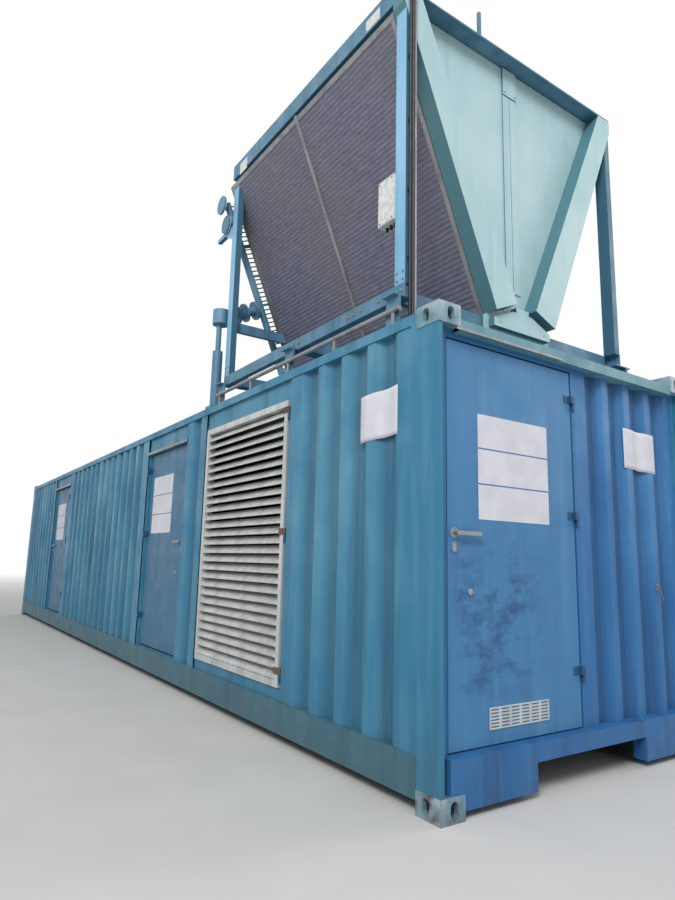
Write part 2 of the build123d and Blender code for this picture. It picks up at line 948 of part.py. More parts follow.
with BuildPart() as rain_gutters:
    for from_end, width in (
        (near_door_from_end, near_door_width), (far_door_from_end, far_door_width)
    ):
        face = side_plane(side_frame_from_side, from_end + width, 0)
        gutter(
            face, -door_gap_outside, width + door_gap_outside, side_gutter_top, side_gutter_reach,
            side_gutter_lip,
        )
    face = end_plane(sill_front, 0, 0)
    gutter(
        face, end_gutter_start, end_gutter_end, end_gutter_top, end_gutter_reach, end_gutter_lip
    )

# Hinges: a lower knuckle with a pin on the frame, an upper knuckle with a strap on the leaf
strap_level = knuckle_standoff + knuckle_radius - strap_thickness - strap_drop


def hinge_section(opening, height):
    """A level plane at a hinge, with x along the wall and y outwards. Extrude by minus to go up."""
    return Plane(
        origin=opening.plane.from_local_coords(Vector(0, height, 0)),
        x_dir=opening.plane.x_dir, z_dir=-opening.plane.y_dir,
    )


def hinge_heights(opening, heights):
    """Heights of an opening's hinges above its lower edge."""
    return [opening.height * share for share in heights]


def fixed_hinges(opening, heights, gap):
    """Lower knuckles and pins, seated on the frame."""
    sign = opening.hinge_sign
    bar_edge = opening.width + gap if opening.hinge_right else -gap
    for height in hinge_heights(opening, heights):
        with BuildSketch(hinge_section(opening, height)) as section:
            with Locations((opening.hinge_x, knuckle_standoff)):
                Circle(knuckle_radius)
            with Locations((bar_edge + sign * seat_width / 2, knuckle_standoff / 2)):
                Rectangle(seat_width, knuckle_standoff)
        extrude(section.sketch, amount=-knuckle_length)
        with BuildSketch(hinge_section(opening, height + knuckle_length)) as section:
            with Locations((opening.hinge_x, knuckle_standoff)):
                Circle(hinge_pin_radius)
        extrude(section.sketch, amount=hinge_pin_short - knuckle_length)


def leaf_hinges(opening, heights):
    """Upper knuckles with straps that step down to the leaf's face."""
    sign = opening.hinge_sign
    leaf_edge = opening.width if opening.hinge_right else 0
    riser_x = leaf_edge - sign * (riser_inset + strap_thickness / 2)
    strap_end = leaf_edge - sign * strap_reach
    leaf_face = -opening.setback
    for height in hinge_heights(opening, heights):
        with BuildSketch(hinge_section(opening, height + knuckle_length + knuckle_play)) as section:
            with Locations((opening.hinge_x, knuckle_standoff)):
                Circle(knuckle_radius)
            with Locations(((opening.hinge_x + riser_x) / 2, strap_level + strap_thickness / 2)):
                Rectangle(abs(opening.hinge_x - riser_x) + strap_thickness, strap_thickness)
            with Locations((riser_x, (leaf_face + strap_level + strap_thickness) / 2)):
                Rectangle(strap_thickness, strap_level + strap_thickness - leaf_face)
            with Locations(((riser_x + strap_end) / 2, leaf_face + strap_thickness / 2)):
                Rectangle(abs(riser_x - strap_end), strap_thickness)
            with Locations((opening.hinge_x, knuckle_standoff)):
                Circle(hinge_pin_radius + hinge_pin_clearance, mode=Mode.SUBTRACT)
        extrude(section.sketch, amount=-knuckle_length)


with BuildPart() as frame_hinges:
    fixed_hinges(end_door, door_hinge_heights, leaf_gap)
    fixed_hinges(near_door, door_hinge_heights, leaf_gap)
    fixed_hinges(far_door, door_hinge_heights, leaf_gap)
    fixed_hinges(louvre_door, louvre_hinge_heights, louvre_gap)


def door_leaf(opening):
    """A flat insulated leaf with rounded upright edges."""
    with BuildSketch(opening.leaf_plane) as section:
        with Locations((opening.width / 2, opening.height / 2)):
            Rectangle(opening.width, opening.height)
    extrude(section.sketch, amount=-leaf_thickness)
    fillet(edges().filter_by(Axis.Z), leaf_edge_radius)


def door_fittings(opening):
    """Hinge straps, the rose and keyhole plate of the lever, and a second round lock."""
    leaf_hinges(opening, door_hinge_heights)
    lever_x = opening.from_free_edge(lever_from_free_edge)
    lock_x = opening.from_free_edge(lever_from_free_edge + lock_from_lever)
    level = lever_height
    with BuildSketch(opening.leaf_plane) as section:
        with Locations((lever_x, level)):
            Circle(rose_radius)
        with Locations((lever_x, level - keyhole_plate_drop)):
            SlotOverall(2 * rose_radius, rose_radius, rotation=90)
    extrude(section.sketch, amount=rose_thickness)
    with BuildSketch(opening.leaf_plane) as section:
        with Locations((lock_x, level - lock_drop)):
            Circle(lock_radius)
    extrude(section.sketch, amount=lock_thickness)


def door_lever(opening):
    """A spindle and a flat grip that points towards the hinges."""
    lever_x = opening.from_free_edge(lever_from_free_edge)
    towards_hinge = 1 if opening.hinge_right else -1
    with BuildSketch(opening.leaf_plane.offset(rose_thickness + knuckle_play)) as section:
        with Locations((lever_x, lever_height)):
            Circle(spindle_radius)
    extrude(section.sketch, amount=lever_standoff - rose_thickness - knuckle_play)
    with BuildSketch(opening.leaf_plane.offset(lever_standoff)) as section:
        grip_middle = lever_x + towards_hinge * (lever_length - lever_grip_width) / 2
        with Locations((grip_middle, lever_height)):
            SlotOverall(lever_length, lever_grip_width)
    extrude(section.sketch, amount=lever_grip_thickness)


with BuildPart() as end_door_leaf:
    door_leaf(end_door)

with BuildPart() as end_door_fittings:
    door_fittings(end_door)

with BuildPart() as end_door_lever:
    door_lever(end_door)

with BuildPart() as near_door_leaf:
    door_leaf(near_door)

with BuildPart() as near_door_fittings:
    door_fittings(near_door)

with BuildPart() as near_door_lever:
    door_lever(near_door)

with BuildPart() as far_door_leaf:
    door_leaf(far_door)

with BuildPart() as far_door_fittings:
    door_fittings(far_door)

with BuildPart() as far_door_lever:
    door_lever(far_door)

# Vent grille low on the end door
with BuildPart() as end_door_vent:
    vent_middle = (vent_from_free_edge + vent_width / 2, vent_bottom + vent_height / 2)
    with BuildSketch(end_door.leaf_plane):
        with Locations(vent_middle):
            Rectangle(vent_width, vent_height)
            with GridLocations(
                vent_width / vent_columns, (vent_height - vent_slot_height) / vent_rows,
                vent_columns, vent_rows,
            ):
                Rectangle(vent_slot_width, vent_slot_height, mode=Mode.SUBTRACT)
    extrude(amount=vent_thickness)

# Louvre door: four bars with sloping blades between them
with BuildPart() as louvre_frame:
    with BuildSketch(louvre_door.leaf_plane):
        with Locations((louvre_width / 2, louvre_height / 2)):
            with GridLocations(louvre_width - louvre_bar, 0, 2, 1):
                Rectangle(louvre_bar, louvre_height)
            with GridLocations(0, louvre_height - louvre_bar, 1, 2):
                Rectangle(louvre_width - 2 * louvre_bar - 2 * bar_joint, louvre_bar)
    extrude(amount=-louvre_depth)

blade_pitch = (louvre_height - 2 * louvre_bar) / blade_count

with BuildPart() as louvre_blades:
    blade_start = Plane(
        origin=louvre_door.leaf_plane.from_local_coords(Vector(louvre_bar, louvre_bar, 0)),
        x_dir=louvre_door.leaf_plane.z_dir, z_dir=-louvre_door.leaf_plane.x_dir,
    )
    with BuildSketch(blade_start):
        for index in range(blade_count):
            foot = index * blade_pitch + blade_foot
            bent_plate(
                [
                    (-blade_setback, foot), (-blade_setback, foot + blade_lip),
                    (-blade_setback - blade_run, foot + blade_lip + blade_rise),
                ],
                blade_sheet,
                Side.LEFT,
            )
    extrude(amount=2 * louvre_bar - louvre_width)

with BuildPart() as louvre_hinges:
    leaf_hinges(louvre_door, louvre_hinge_heights)

# Dry cooler: its parts stand about a plane a little off the container's middle


def cooler_plane(x, end=1):
    """Upright plane across the cooler, looking outwards at that end."""
    return Plane(origin=(x, -cooler_off_centre, 0), x_dir=(0, end, 0), z_dir=(end, 0, 0))


def cooler_block(x_low, x_high, y_near, y_far, z_low, z_high, side):
    """A plain bar between two distances from the cooler's middle, on one side of it."""
    y_low, y_high = sorted((side * y_near - cooler_off_centre, side * y_far - cooler_off_centre))
    block(x_low, x_high, y_low, y_high, z_low, z_high)


# Base frame: channels on feet that stand on the top rails
with BuildPart() as cooler_side_rails:
    for side in (-1, 1):
        with BuildSketch(cooler_plane(cooler_back)):
            bent_plate(
                [
                    (side * (base_half_width - base_rail_width), base_frame_bottom),
                    (side * base_half_width, base_frame_bottom),
                    (side * base_half_width, base_frame_top),
                    (side * (base_half_width - base_rail_width), base_frame_top),
                ],
                base_rail_plate,
                Side.LEFT if side > 0 else Side.RIGHT,
            )
        extrude(amount=cooler_length)

# Cross rails in the base frame, and two beams above the far end's coils
foot_pitch = (cooler_length - foot_length) / (foot_positions - 1)
foot_centres = [cooler_back + foot_length / 2 + foot_pitch * index for index in range(foot_positions)]
cross_rail_outer = base_half_width - base_rail_width
near_post_back = cooler_front - cooler_post_from_front - cooler_post_width
cross_rail_spans = [
    (near_post_back - near_cross_rail_width, near_post_back),
    (foot_centres[1] - foot_length / 2, foot_centres[1] + foot_length / 2),
    (cooler_back, cooler_back + foot_length),
]

with BuildPart() as cooler_cross_rails:
    for x_low, x_high in cross_rail_spans:
        for side in (-1, 1):
            cooler_block(
                x_low, x_high, keel_half_width, cross_rail_outer, base_frame_bottom, base_frame_top, side
            )
    for side in (-1, 1):
        beam_outer = base_half_width - cooler_post_depth
        with BuildSketch(cooler_plane(cooler_back)):
            with BuildLine():
                Polyline(
                    (side * (v_half_width(far_beam_bottom) + far_beam_gap), far_beam_bottom),
                    (side * beam_outer, far_beam_bottom),
                    (side * beam_outer, far_beam_top),
                    (side * (v_half_width(far_beam_top) + far_beam_gap), far_beam_top),
                    close=True,
                )
            make_face()
        extrude(amount=far_beam_width)

with BuildPart() as cooler_feet:
    for x_middle in foot_centres:
        for side in (-1, 1):
            low, high = sorted(
                (
                    side * (base_half_width - foot_width) - cooler_off_centre,
                    side * (half_width - foot_from_side),
                )
            )
            block(
                x_middle - foot_length / 2, x_middle + foot_length / 2, low, high,
                base_frame_bottom - foot_plate, base_frame_bottom,
            )
            riser_outer = half_width - foot_riser_from_side
            low, high = sorted((side * riser_outer, side * (riser_outer - foot_riser_width)))
            block(
                x_middle - foot_length / 2, x_middle + foot_length / 2, low, high,
                top_rail_top, base_frame_bottom - foot_plate,
            )

# Posts outside the V, mitred under the edges of its legs
post_x_positions = (near_post_back, cooler_back + cooler_post_from_front)
post_inner = base_half_width - cooler_post_depth
post_top = v_keel_height + (post_inner - v_half_width_at_keel) / v_spread

with BuildPart() as cooler_posts:
    for side in (-1, 1):
        outline = [
            (side * post_inner, base_frame_top),
            (side * base_half_width, base_frame_top),
            (side * base_half_width, post_top + cooler_post_depth / v_spread),
            (side * post_inner, post_top),
        ]
        for x_low in post_x_positions:
            with BuildSketch(cooler_plane(x_low)):
                with BuildLine():
                    Polyline(*outline, close=True)
                make_face()
            extrude(amount=cooler_post_width)
    bracket_face = Plane(
        origin=(cooler_back + cooler_post_from_front, -cooler_off_centre - base_half_width, 0),
        x_dir=(1, 0, 0), z_dir=(0, -1, 0),
    )
    with BuildSketch(bracket_face):
        with BuildLine():
            Polyline(
                (0, bracket_top), (-bracket_reach, bracket_top), (-bracket_reach, bracket_top - bracket_bar),
                (-bracket_reach / 2, bracket_top - bracket_bar), (0, bracket_top - bracket_height), close=True,
            )
        make_face()
    extrude(amount=-bracket_bar)

# Keel: a closed beam under the V with slopes that carry the coils, and a lower nose at the near end
keel_outline = [
    (-keel_half_width, keel_bottom), (keel_half_width, keel_bottom),
    (keel_half_width, keel_shoulder), (keel_half_width - (keel_top - keel_shoulder) / v_spread, keel_top),
    ((keel_top - keel_shoulder) / v_spread - keel_half_width, keel_top), (-keel_half_width, keel_shoulder),
]
keel_plate_flat = keel_plate_half_width - (keel_plate_top - keel_plate_shoulder) / v_spread
keel_plate_outline = [
    (-keel_plate_half_width, keel_plate_bottom), (keel_plate_half_width, keel_plate_bottom),
    (keel_plate_half_width, keel_plate_shoulder), (keel_plate_flat, keel_plate_top),
    (keel_tab_half_width, keel_plate_top), (keel_tab_half_width, keel_tab_top),
    (-keel_tab_half_width, keel_tab_top), (-keel_tab_half_width, keel_plate_top),
    (-keel_plate_flat, keel_plate_top), (-keel_plate_half_width, keel_plate_shoulder),
]

with BuildPart() as cooler_keel:
    with BuildSketch(cooler_plane(cooler_back)):
        with BuildLine():
            Polyline(*keel_outline, close=True)
        make_face()
    extrude(amount=cooler_length - keel_setback)
    with BuildSketch(cooler_plane(cooler_front - keel_setback)):
        with BuildLine():
            Polyline(*keel_plate_outline, close=True)
        make_face()
    extrude(amount=keel_setback - keel_plate_setback)

# Legs of the V: folded trays cut off square above the keel, wide at the near end, narrow at the far end
far_leg_outer = (coil_thickness + tube_sheet_edge + far_leg_gap) * v_angle_length
far_leg_inner = far_leg_outer + far_leg_width * v_angle_length
leg_taper = (leg_foot_level_width - leg_head_level_width) / (deck_bottom - leg_foot_level)


def leg_edge(height, inwards, inset):
    """Y of a leg's edge that far inwards from the V's outer face, drawn in by inset."""
    return v_half_width(height) - inwards - inset * v_angle_length


def leg_inner(height):
    """Level width of a wide leg at that height, from the V's outer face to its inner edge."""
    return leg_foot_level_width - leg_taper * (height - leg_foot_level)


def foot_cut(y):
    """Height of the square cut across a leg's foot, which seats on the keel's slope, at that Y."""
    return keel_shoulder + v_spread * (keel_half_width - y)


def near_leg_outline(inset):
    """View of a wide leg, cut off upright below the deck."""
    top = deck_bottom - inset
    cut = v_top_half_width - inset
    knee = v_keel_height + (cut + inset * v_angle_length - v_half_width_at_keel) / v_spread
    return [
        (leg_edge(keel_bottom, 0, inset), keel_bottom),
        (cut, knee),
        (cut, top),
        (leg_edge(top, leg_inner(top), -inset), top),
        (leg_edge(keel_bottom, leg_inner(keel_bottom), -inset), keel_bottom),
    ]


def far_leg_outline(inset):
    """View of a narrow leg, which stands inside the coil."""
    top = deck_bottom - inset
    return [
        (leg_edge(keel_bottom, far_leg_outer, inset), keel_bottom),
        (leg_edge(top, far_leg_outer, inset), top),
        (leg_edge(top, far_leg_inner, -inset), top),
        (leg_edge(keel_bottom, far_leg_inner, -inset), keel_bottom),
    ]


def below_cut(side, raised):
    """Everything below a leg's square foot, as an outline on one side, raised by the plate."""
    outer = base_half_width
    lift = raised * v_angle_length
    return [
        (-side * outer, 0), (side * outer, 0),
        (side * outer, foot_cut(outer) + lift), (-side * outer, foot_cut(-outer) + lift),
    ]


def leg_tray(end, side, outline):
    """One leg, with its flat face outwards at that end and its back open."""
    face = cooler_plane(cooler_front if end > 0 else cooler_back, end)
    for depth, inset, mode in ((0, 0, Mode.ADD), (leg_plate, leg_plate, Mode.SUBTRACT)):
        with BuildSketch(face.offset(-depth)) as section:
            with BuildLine():
                Polyline(*[(end * side * y, z) for y, z in outline(inset)], close=True)
            make_face()
            with BuildLine():
                Polyline(*below_cut(end * side, inset), close=True)
            make_face(mode=Mode.SUBTRACT)
        extrude(section.sketch, amount=depth - leg_depth, mode=mode)


with BuildPart() as cooler_legs:
    for side in (-1, 1):
        leg_tray(1, side, near_leg_outline)
        leg_tray(-1, side, far_leg_outline)

# End panels behind the legs, with a seam plate and a small cover on the near one's outer face
with BuildPart() as cooler_end_panels:
    for end, face_x, foot_inner, head_inner in (
        (1, cooler_front - leg_depth, leg_inner(keel_top), leg_inner(deck_bottom)),
        (-1, cooler_back + leg_depth, far_leg_inner, far_leg_inner),
    ):
        face = cooler_plane(face_x, end)
        foot_half = leg_edge(keel_top, foot_inner - end_panel_overlap, 0)
        head_half = leg_edge(deck_bottom, head_inner - end_panel_overlap, 0)
        seam_top = deck_bottom - panel_cover_height - end_panel_seam_gap
        with BuildSketch(face):
            with BuildLine():
                Polyline(
                    (-foot_half, keel_top), (foot_half, keel_top),
                    (head_half, deck_bottom), (-head_half, deck_bottom), close=True,
                )
            make_face()
        extrude(amount=-end_panel_sheet)
        with BuildSketch(face):
            for side in (-1, 1):
                strip_width = (panel_cover_width - end_panel_seam_gap) / 2
                with Locations(
                    (side * (strip_width + end_panel_seam_gap) / 2, (seam_foot + seam_top) / 2)
                ):
                    Rectangle(strip_width, seam_top - seam_foot)
        extrude(amount=end_panel_seam_depth)
        with BuildSketch(face):
            with Locations((0, deck_bottom - panel_cover_height / 2)):
                Rectangle(panel_cover_width, panel_cover_height)
        extrude(amount=panel_cover_depth)

# Coils: slabs whose feet seat on the keel's slopes, with a casing at the far end
coil_foot_y = (
    v_half_width(keel_shoulder) + v_spread**2 * keel_half_width
) / (1 + v_spread**2)
coil_foot_z = keel_shoulder + (keel_half_width - coil_foot_y) * v_spread
coil_step_y = coil_thickness / v_angle_length
coil_step_z = coil_step_y * v_spread
coil_front = cooler_front - leg_depth - coil_start_gap
coil_back = cooler_back - coil_overhang
fins_back = coil_back + coil_casing_length
fins_length = coil_front - tube_sheet - fins_back


def coil_section(side, grow):
    """Section of one coil across the container, reaching inwards further by grow."""
    head_y = v_half_width(coil_top_height)
    reach = 1 + grow / coil_thickness
    return [
        (side * coil_foot_y, coil_foot_z),
        (side * head_y, coil_top_height),
        (side * (head_y - coil_step_y * reach), coil_top_height + coil_step_z * reach),
        (side * (coil_foot_y - coil_step_y * reach), coil_foot_z + coil_step_z * reach),
    ]


def coil_slab(side, start, length, grow=0):
    """A length of coil section running towards the near end."""
    with BuildSketch(cooler_plane(start)) as section:
        with BuildLine():
            Polyline(*coil_section(side, grow), close=True)
        make_face()
    extrude(section.sketch, amount=length)


with BuildPart() as coil_front_side:
    coil_slab(-1, fins_back, fins_length)

with BuildPart() as coil_back_side:
    coil_slab(1, fins_back, fins_length)

with BuildPart() as coil_tube_sheets:
    for side in (-1, 1):
        coil_slab(side, coil_back, coil_casing_length, tube_sheet_edge)
        coil_slab(side, coil_front - tube_sheet, tube_sheet, tube_sheet_edge)

# Strips over the joint between the two modules of each coil
mid_strip_x = (cooler_front + cooler_back) / 2 - mid_strip_shift

with BuildPart() as coil_mid_strips:
    for side in (-1, 1):
        with BuildSketch(cooler_plane(mid_strip_x - mid_strip_width / 2)):
            foot_y = coil_foot_y
            head_y = v_half_width(coil_top_height)
            out_y = mid_strip_depth * v_angle_length
            with BuildLine():
                Polyline(
                    (side * foot_y, coil_foot_z), (side * (foot_y + out_y), coil_foot_z),
                    (side * (head_y + out_y), coil_top_height), (side * head_y, coil_top_height),
                    close=True,
                )
            make_face()
        extrude(amount=mid_strip_width)

# Edge channels along the deck, open towards its middle
with BuildPart() as cooler_edge_channels:
    for side in (-1, 1):
        with BuildSketch(cooler_plane(cooler_back)):
            bent_plate(
                [
                    (side * (v_top_half_width - edge_channel_depth), edge_channel_bottom),
                    (side * v_top_half_width, edge_channel_bottom),
                    (side * v_top_half_width, edge_channel_bottom + edge_channel_height),
                    (side * (v_top_half_width - edge_channel_depth), edge_channel_bottom + edge_channel_height),
                ],
                edge_channel_plate,
                Side.LEFT if side > 0 else Side.RIGHT,
            )
        extrude(amount=cooler_length - leg_depth)

# Deck: a tray turned upside down between the channels, with a round hole for each fan
fan_middle_x = (cooler_front + cooler_back) / 2
fan_places = [
    (fan_middle_x + sx * fan_spacing_x / 2, sy * fan_spacing_y / 2 - cooler_off_centre)
    for sx in (-1, 1) for sy in (-1, 1)
]
deck_half_width = v_top_half_width - edge_channel_plate
deck_middle = (fan_middle_x, -cooler_off_centre)

with BuildPart() as fan_deck:
    with BuildSketch(Plane.XY.offset(deck_bottom)):
        with Locations(deck_middle):
            Rectangle(cooler_length, 2 * deck_half_width)
    extrude(amount=deck_height)
    with BuildSketch(Plane.XY.offset(deck_bottom)):
        with Locations(deck_middle):
            Rectangle(cooler_length - 2 * deck_plate, 2 * (deck_half_width - deck_plate))
    extrude(amount=deck_height - deck_plate, mode=Mode.SUBTRACT)
    with BuildSketch(Plane.XY.offset(deck_bottom)):
        with Locations(*fan_places):
            Circle(fan_radius + shroud_sheet + shroud_clearance)
    extrude(amount=deck_height, mode=Mode.SUBTRACT)
    block(
        cooler_front - mast_width, cooler_front, mast_y, mast_y + mast_width, deck_top, deck_top + mast_height
    )

with BuildPart() as fan_shrouds:
    shroud_top = deck_top + shroud_above_deck
    with BuildSketch(Plane.XY.offset(shroud_top - shroud_height)):
        with Locations(*fan_places):
            Circle(fan_radius + shroud_sheet)
            Circle(fan_radius, mode=Mode.SUBTRACT)
    extrude(amount=shroud_height)
    with BuildSketch(Plane.XY.offset(deck_top)):
        with Locations(*fan_places):
            Circle(fan_radius + shroud_flange)
            Circle(fan_radius, mode=Mode.SUBTRACT)
    extrude(amount=shroud_sheet)

# Guards: rings and spokes in one level, resting on the shrouds
with BuildPart() as fan_guards:
    with BuildSketch(Plane.XY.offset(shroud_top)):
        for place in fan_places:
            for ring in range(guard_rings):
                ring_radius = (fan_radius + shroud_sheet) * (ring + 1) / guard_rings
                with Locations(place):
                    with BuildSketch(mode=Mode.PRIVATE) as ring_face:
                        RegularPolygon(ring_radius, guard_sides)
                        RegularPolygon(ring_radius - guard_bar, guard_sides, mode=Mode.SUBTRACT)
                    add(ring_face.sketch)
            with Locations(place):
                with PolarLocations(fan_radius / 2, guard_spokes):
                    Rectangle(fan_radius, guard_bar)
    extrude(amount=guard_bar)

# Fans: a motor hung under each guard, with pitched blades
with BuildPart() as fan_rotors:
    blade_length = fan_radius - blade_tip_gap - hub_radius + blade_root
    for place in fan_places:
        with Locations((place[0], place[1], shroud_top - hub_height / 2)):
            Cylinder(hub_radius, hub_height)
            with PolarLocations(hub_radius - blade_root + blade_length / 2, fan_blades):
                Box(blade_length, blade_width, blade_thickness, rotation=(blade_pitch_angle, 0, 0))

# Water headers at the far end: a pipe outside each coil's face, with short stubs to its casing
header_x = coil_back - header_pipe_from_coil
header_length = (header_top_height - header_foot_height) * v_angle_length


def header_point(side, height):
    """A point on a header's axis at that height."""
    return Vector(header_x, side * (v_half_width(height) + header_from_face) - cooler_off_centre, height)


def pipe(start, end, radius):
    """A round bar between two points."""
    run = Vector(*end) - Vector(*start)
    with BuildSketch(Plane(origin=start, z_dir=run)) as section:
        Circle(radius)
    extrude(section.sketch, amount=run.length)


riser_y = y_at(riser_from_side)
branch_start = header_point(-1, branch_height)
branch_end = Vector(riser_x, riser_y + riser_shift, branch_height - branch_fall)
branch_run = branch_end - branch_start
branch_way = branch_run.normalized()
branch_flange = branch_start + branch_run * branch_flange_share

with BuildPart() as coil_headers:
    for side in (-1, 1):
        upwards = Vector(0, side * v_spread, 1).normalized()
        start = header_point(side, header_foot_height)
        with BuildSketch(Plane(origin=start, x_dir=(1, 0, 0), z_dir=upwards)):
            Circle(header_pipe_radius)
        extrude(amount=header_length)
        for index in range(stub_count):
            height = header_foot_height + (header_top_height - header_foot_height) * (index + 0.5) / stub_count
            inwards = Vector(0, -side, v_spread).normalized()
            reach = header_from_face / v_angle_length + coil_thickness / 2
            with BuildSketch(Plane(origin=header_point(side, height), x_dir=(1, 0, 0), z_dir=inwards)):
                Circle(stub_radius)
            extrude(amount=reach + stub_radius)
            bend = header_point(side, height) + inwards * reach
            with BuildSketch(Plane(origin=bend, x_dir=(0, 1, 0), z_dir=(1, 0, 0))):
                Circle(stub_end_radius)
            extrude(amount=header_pipe_from_coil)

# Water pipes on the side with the louvre: a branch with a valve, down to a riser on the roof's edge
stub_start = header_pipe_radius * v_angle_length + v_spread * stub_pipe_radius + stub_gap

with BuildPart() as water_pipes:
    for height in upper_stub_heights:
        axis = header_point(-1, height)
        face_y = min(axis.Y - stub_start, y_at(upper_stub_from_side)) - stub_pipe_length
        pipe((axis.X, axis.Y - stub_start, height), (axis.X, face_y, height), stub_pipe_radius)
        pipe((axis.X, face_y, height), (axis.X, face_y - flange_thickness, height), flange_radius)
    pipe(branch_start + branch_way * (header_pipe_radius + stub_gap), branch_flange, stub_pipe_radius)
    pipe(branch_flange, branch_end, water_pipe_radius)
    pipe(branch_flange, branch_flange + branch_way * flange_thickness, flange_radius)
    valve_start = branch_start + branch_run * valve_share
    valve_end = valve_start + branch_way * valve_length
    pipe(valve_start, valve_end, valve_radius)
    pipe(valve_start, valve_start + branch_way * flange_thickness, flange_radius)
    pipe(valve_end, valve_end + branch_way * flange_thickness, flange_radius)
    pipe(
        (branch_end.X, branch_end.Y, branch_end.Z - hood_height / 2),
        (branch_end.X, branch_end.Y, branch_end.Z + hood_height / 2), hood_radius,
    )
    pipe((riser_x, riser_y, roof_ridge_top + riser_foot_plate), (riser_x, riser_y, riser_step_height), riser_radius)
    pipe((riser_x, riser_y, riser_step_height), (riser_x, riser_y, branch_end.Z), riser_upper_radius)
    block(
        riser_x - riser_foot_half, riser_x + riser_foot_half, y_at(post_setback),
        riser_y + riser_foot_half, roof_ridge_top, roof_ridge_top + riser_foot_plate,
    )
    block(
        riser_x - riser_foot_half, riser_x + riser_foot_half, y_at(post_setback),
        y_at(post_setback + top_rail_size), top_rail_top, roof_ridge_top,
    )

# Junction box beside the near post, and a bundle of cables down the post's front to the roof
post_outer_y = -cooler_off_centre - base_half_width

with BuildPart() as junction_box:
    block(
        near_post_back - junction_box_width, near_post_back, post_outer_y - junction_box_reach,
        post_outer_y - junction_box_reach + junction_box_depth,
        junction_box_bottom, junction_box_bottom + junction_box_height,
    )

cable_x = cooler_front + cable_radius + cable_gap
cable_y = post_outer_y + cable_from_post_edge

with BuildPart() as post_cables:
    for step_x, step_y in ((0, 0), (0, 1.8), (1.6, 0.9)):
        x = cable_x + step_x * cable_radius
        y = cable_y + step_y * cable_radius
        pipe((x, y, roof_ridge_top), (x, y, cable_top), cable_radius)
    for height in cable_clip_heights:
        block(
            cooler_front - cooler_post_from_front, cooler_front + cable_gap, cable_y - cable_radius,
            cable_y + cable_clip_length, height, height + cable_clip_height,
        )
    block(
        cooler_front, cooler_front + cable_clip_length, cable_y - cable_radius,
        cable_y + cable_clip_length, roof_ridge_top, roof_ridge_top + cable_clip_height,
    )

# Steel conduits: one along the roof's edge on short stands, one beside the cables
conduit_y = y_at(roof_conduit_from_side)

with BuildPart() as roof_conduit:
    pipe(
        (x_at(roof_conduit_end), conduit_y, roof_conduit_height),
        (x_at(roof_conduit_start), conduit_y, roof_conduit_height), roof_conduit_radius,
    )
    stand_pitch = (roof_conduit_end - roof_conduit_start - 2 * stand_inset) / (stand_count - 1)
    for index in range(stand_count):
        x = x_at(roof_conduit_start + stand_inset + index * stand_pitch)
        block(
            x - stand_width / 2, x + stand_width / 2, conduit_y - stand_width / 4,
            conduit_y + stand_width / 4, top_rail_top, roof_conduit_height,
        )
    pale_y = cable_y + pale_conduit_offset
    pipe((cooler_front + cable_gap + pale_conduit_radius, pale_y, roof_ridge_top + cable_clip_height),
         (cooler_front + cable_gap + pale_conduit_radius, pale_y, cable_top), pale_conduit_radius)

os.makedirs("parts", exist_ok=True)
bottom_castings.part.label = "bottom_castings"
export_step(bottom_castings.part, "parts/bottom_castings.step")
top_castings.part.label = "top_castings"
export_step(top_castings.part, "parts/top_castings.step")
corner_posts.part.label = "corner_posts"
export_step(corner_posts.part, "parts/corner_posts.step")
bottom_side_rails.part.label = "bottom_side_rails"
export_step(bottom_side_rails.part, "parts/bottom_side_rails.step")
top_side_rails.part.label = "top_side_rails"
export_step(top_side_rails.part, "parts/top_side_rails.step")
end_headers.part.label = "end_headers"
export_step(end_headers.part, "parts/end_headers.step")
end_sill_beams.part.label = "end_sill_beams"
export_step(end_sill_beams.part, "parts/end_sill_beams.step")
end_sill_feet.part.label = "end_sill_feet"
export_step(end_sill_feet.part, "parts/end_sill_feet.step")
gooseneck_tunnel.part.label = "gooseneck_tunnel"
export_step(gooseneck_tunnel.part, "parts/gooseneck_tunnel.step")
floor_cross_members.part.label = "floor_cross_members"
export_step(floor_cross_members.part, "parts/floor_cross_members.step")
floor_deck.part.label = "floor_deck"
export_step(floor_deck.part, "parts/floor_deck.step")
front_wall_sheets.part.label = "front_wall_sheets"
export_step(front_wall_sheets.part, "parts/front_wall_sheets.step")
back_wall_sheet.part.label = "back_wall_sheet"
export_step(back_wall_sheet.part, "parts/back_wall_sheet.step")
end_wall_sheets.part.label = "end_wall_sheets"
export_step(end_wall_sheets.part, "parts/end_wall_sheets.step")
front_wall_lining.part.label = "front_wall_lining"
export_step(front_wall_lining.part, "parts/front_wall_lining.step")
lintel_lining.part.label = "lintel_lining"
export_step(lintel_lining.part, "parts/lintel_lining.step")
back_wall_lining.part.label = "back_wall_lining"
export_step(back_wall_lining.part, "parts/back_wall_lining.step")
end_wall_linings.part.label = "end_wall_linings"
export_step(end_wall_linings.part, "parts/end_wall_linings.step")
roof_sheet.part.label = "roof_sheet"
export_step(roof_sheet.part, "parts/roof_sheet.step")
roof_lining.part.label = "roof_lining"
export_step(roof_lining.part, "parts/roof_lining.step")
door_jambs.part.label = "door_jambs"
export_step(door_jambs.part, "parts/door_jambs.step")
door_heads.part.label = "door_heads"
export_step(door_heads.part, "parts/door_heads.step")
louvre_surround.part.label = "louvre_surround"
export_step(louvre_surround.part, "parts/louvre_surround.step")
lintel_plates.part.label = "lintel_plates"
export_step(lintel_plates.part, "parts/lintel_plates.step")
rain_gutters.part.label = "rain_gutters"
export_step(rain_gutters.part, "parts/rain_gutters.step")
frame_hinges.part.label = "frame_hinges"
export_step(frame_hinges.part, "parts/frame_hinges.step")
end_door_leaf.part.label = "end_door_leaf"
export_step(end_door_leaf.part, "parts/end_door_leaf.step")
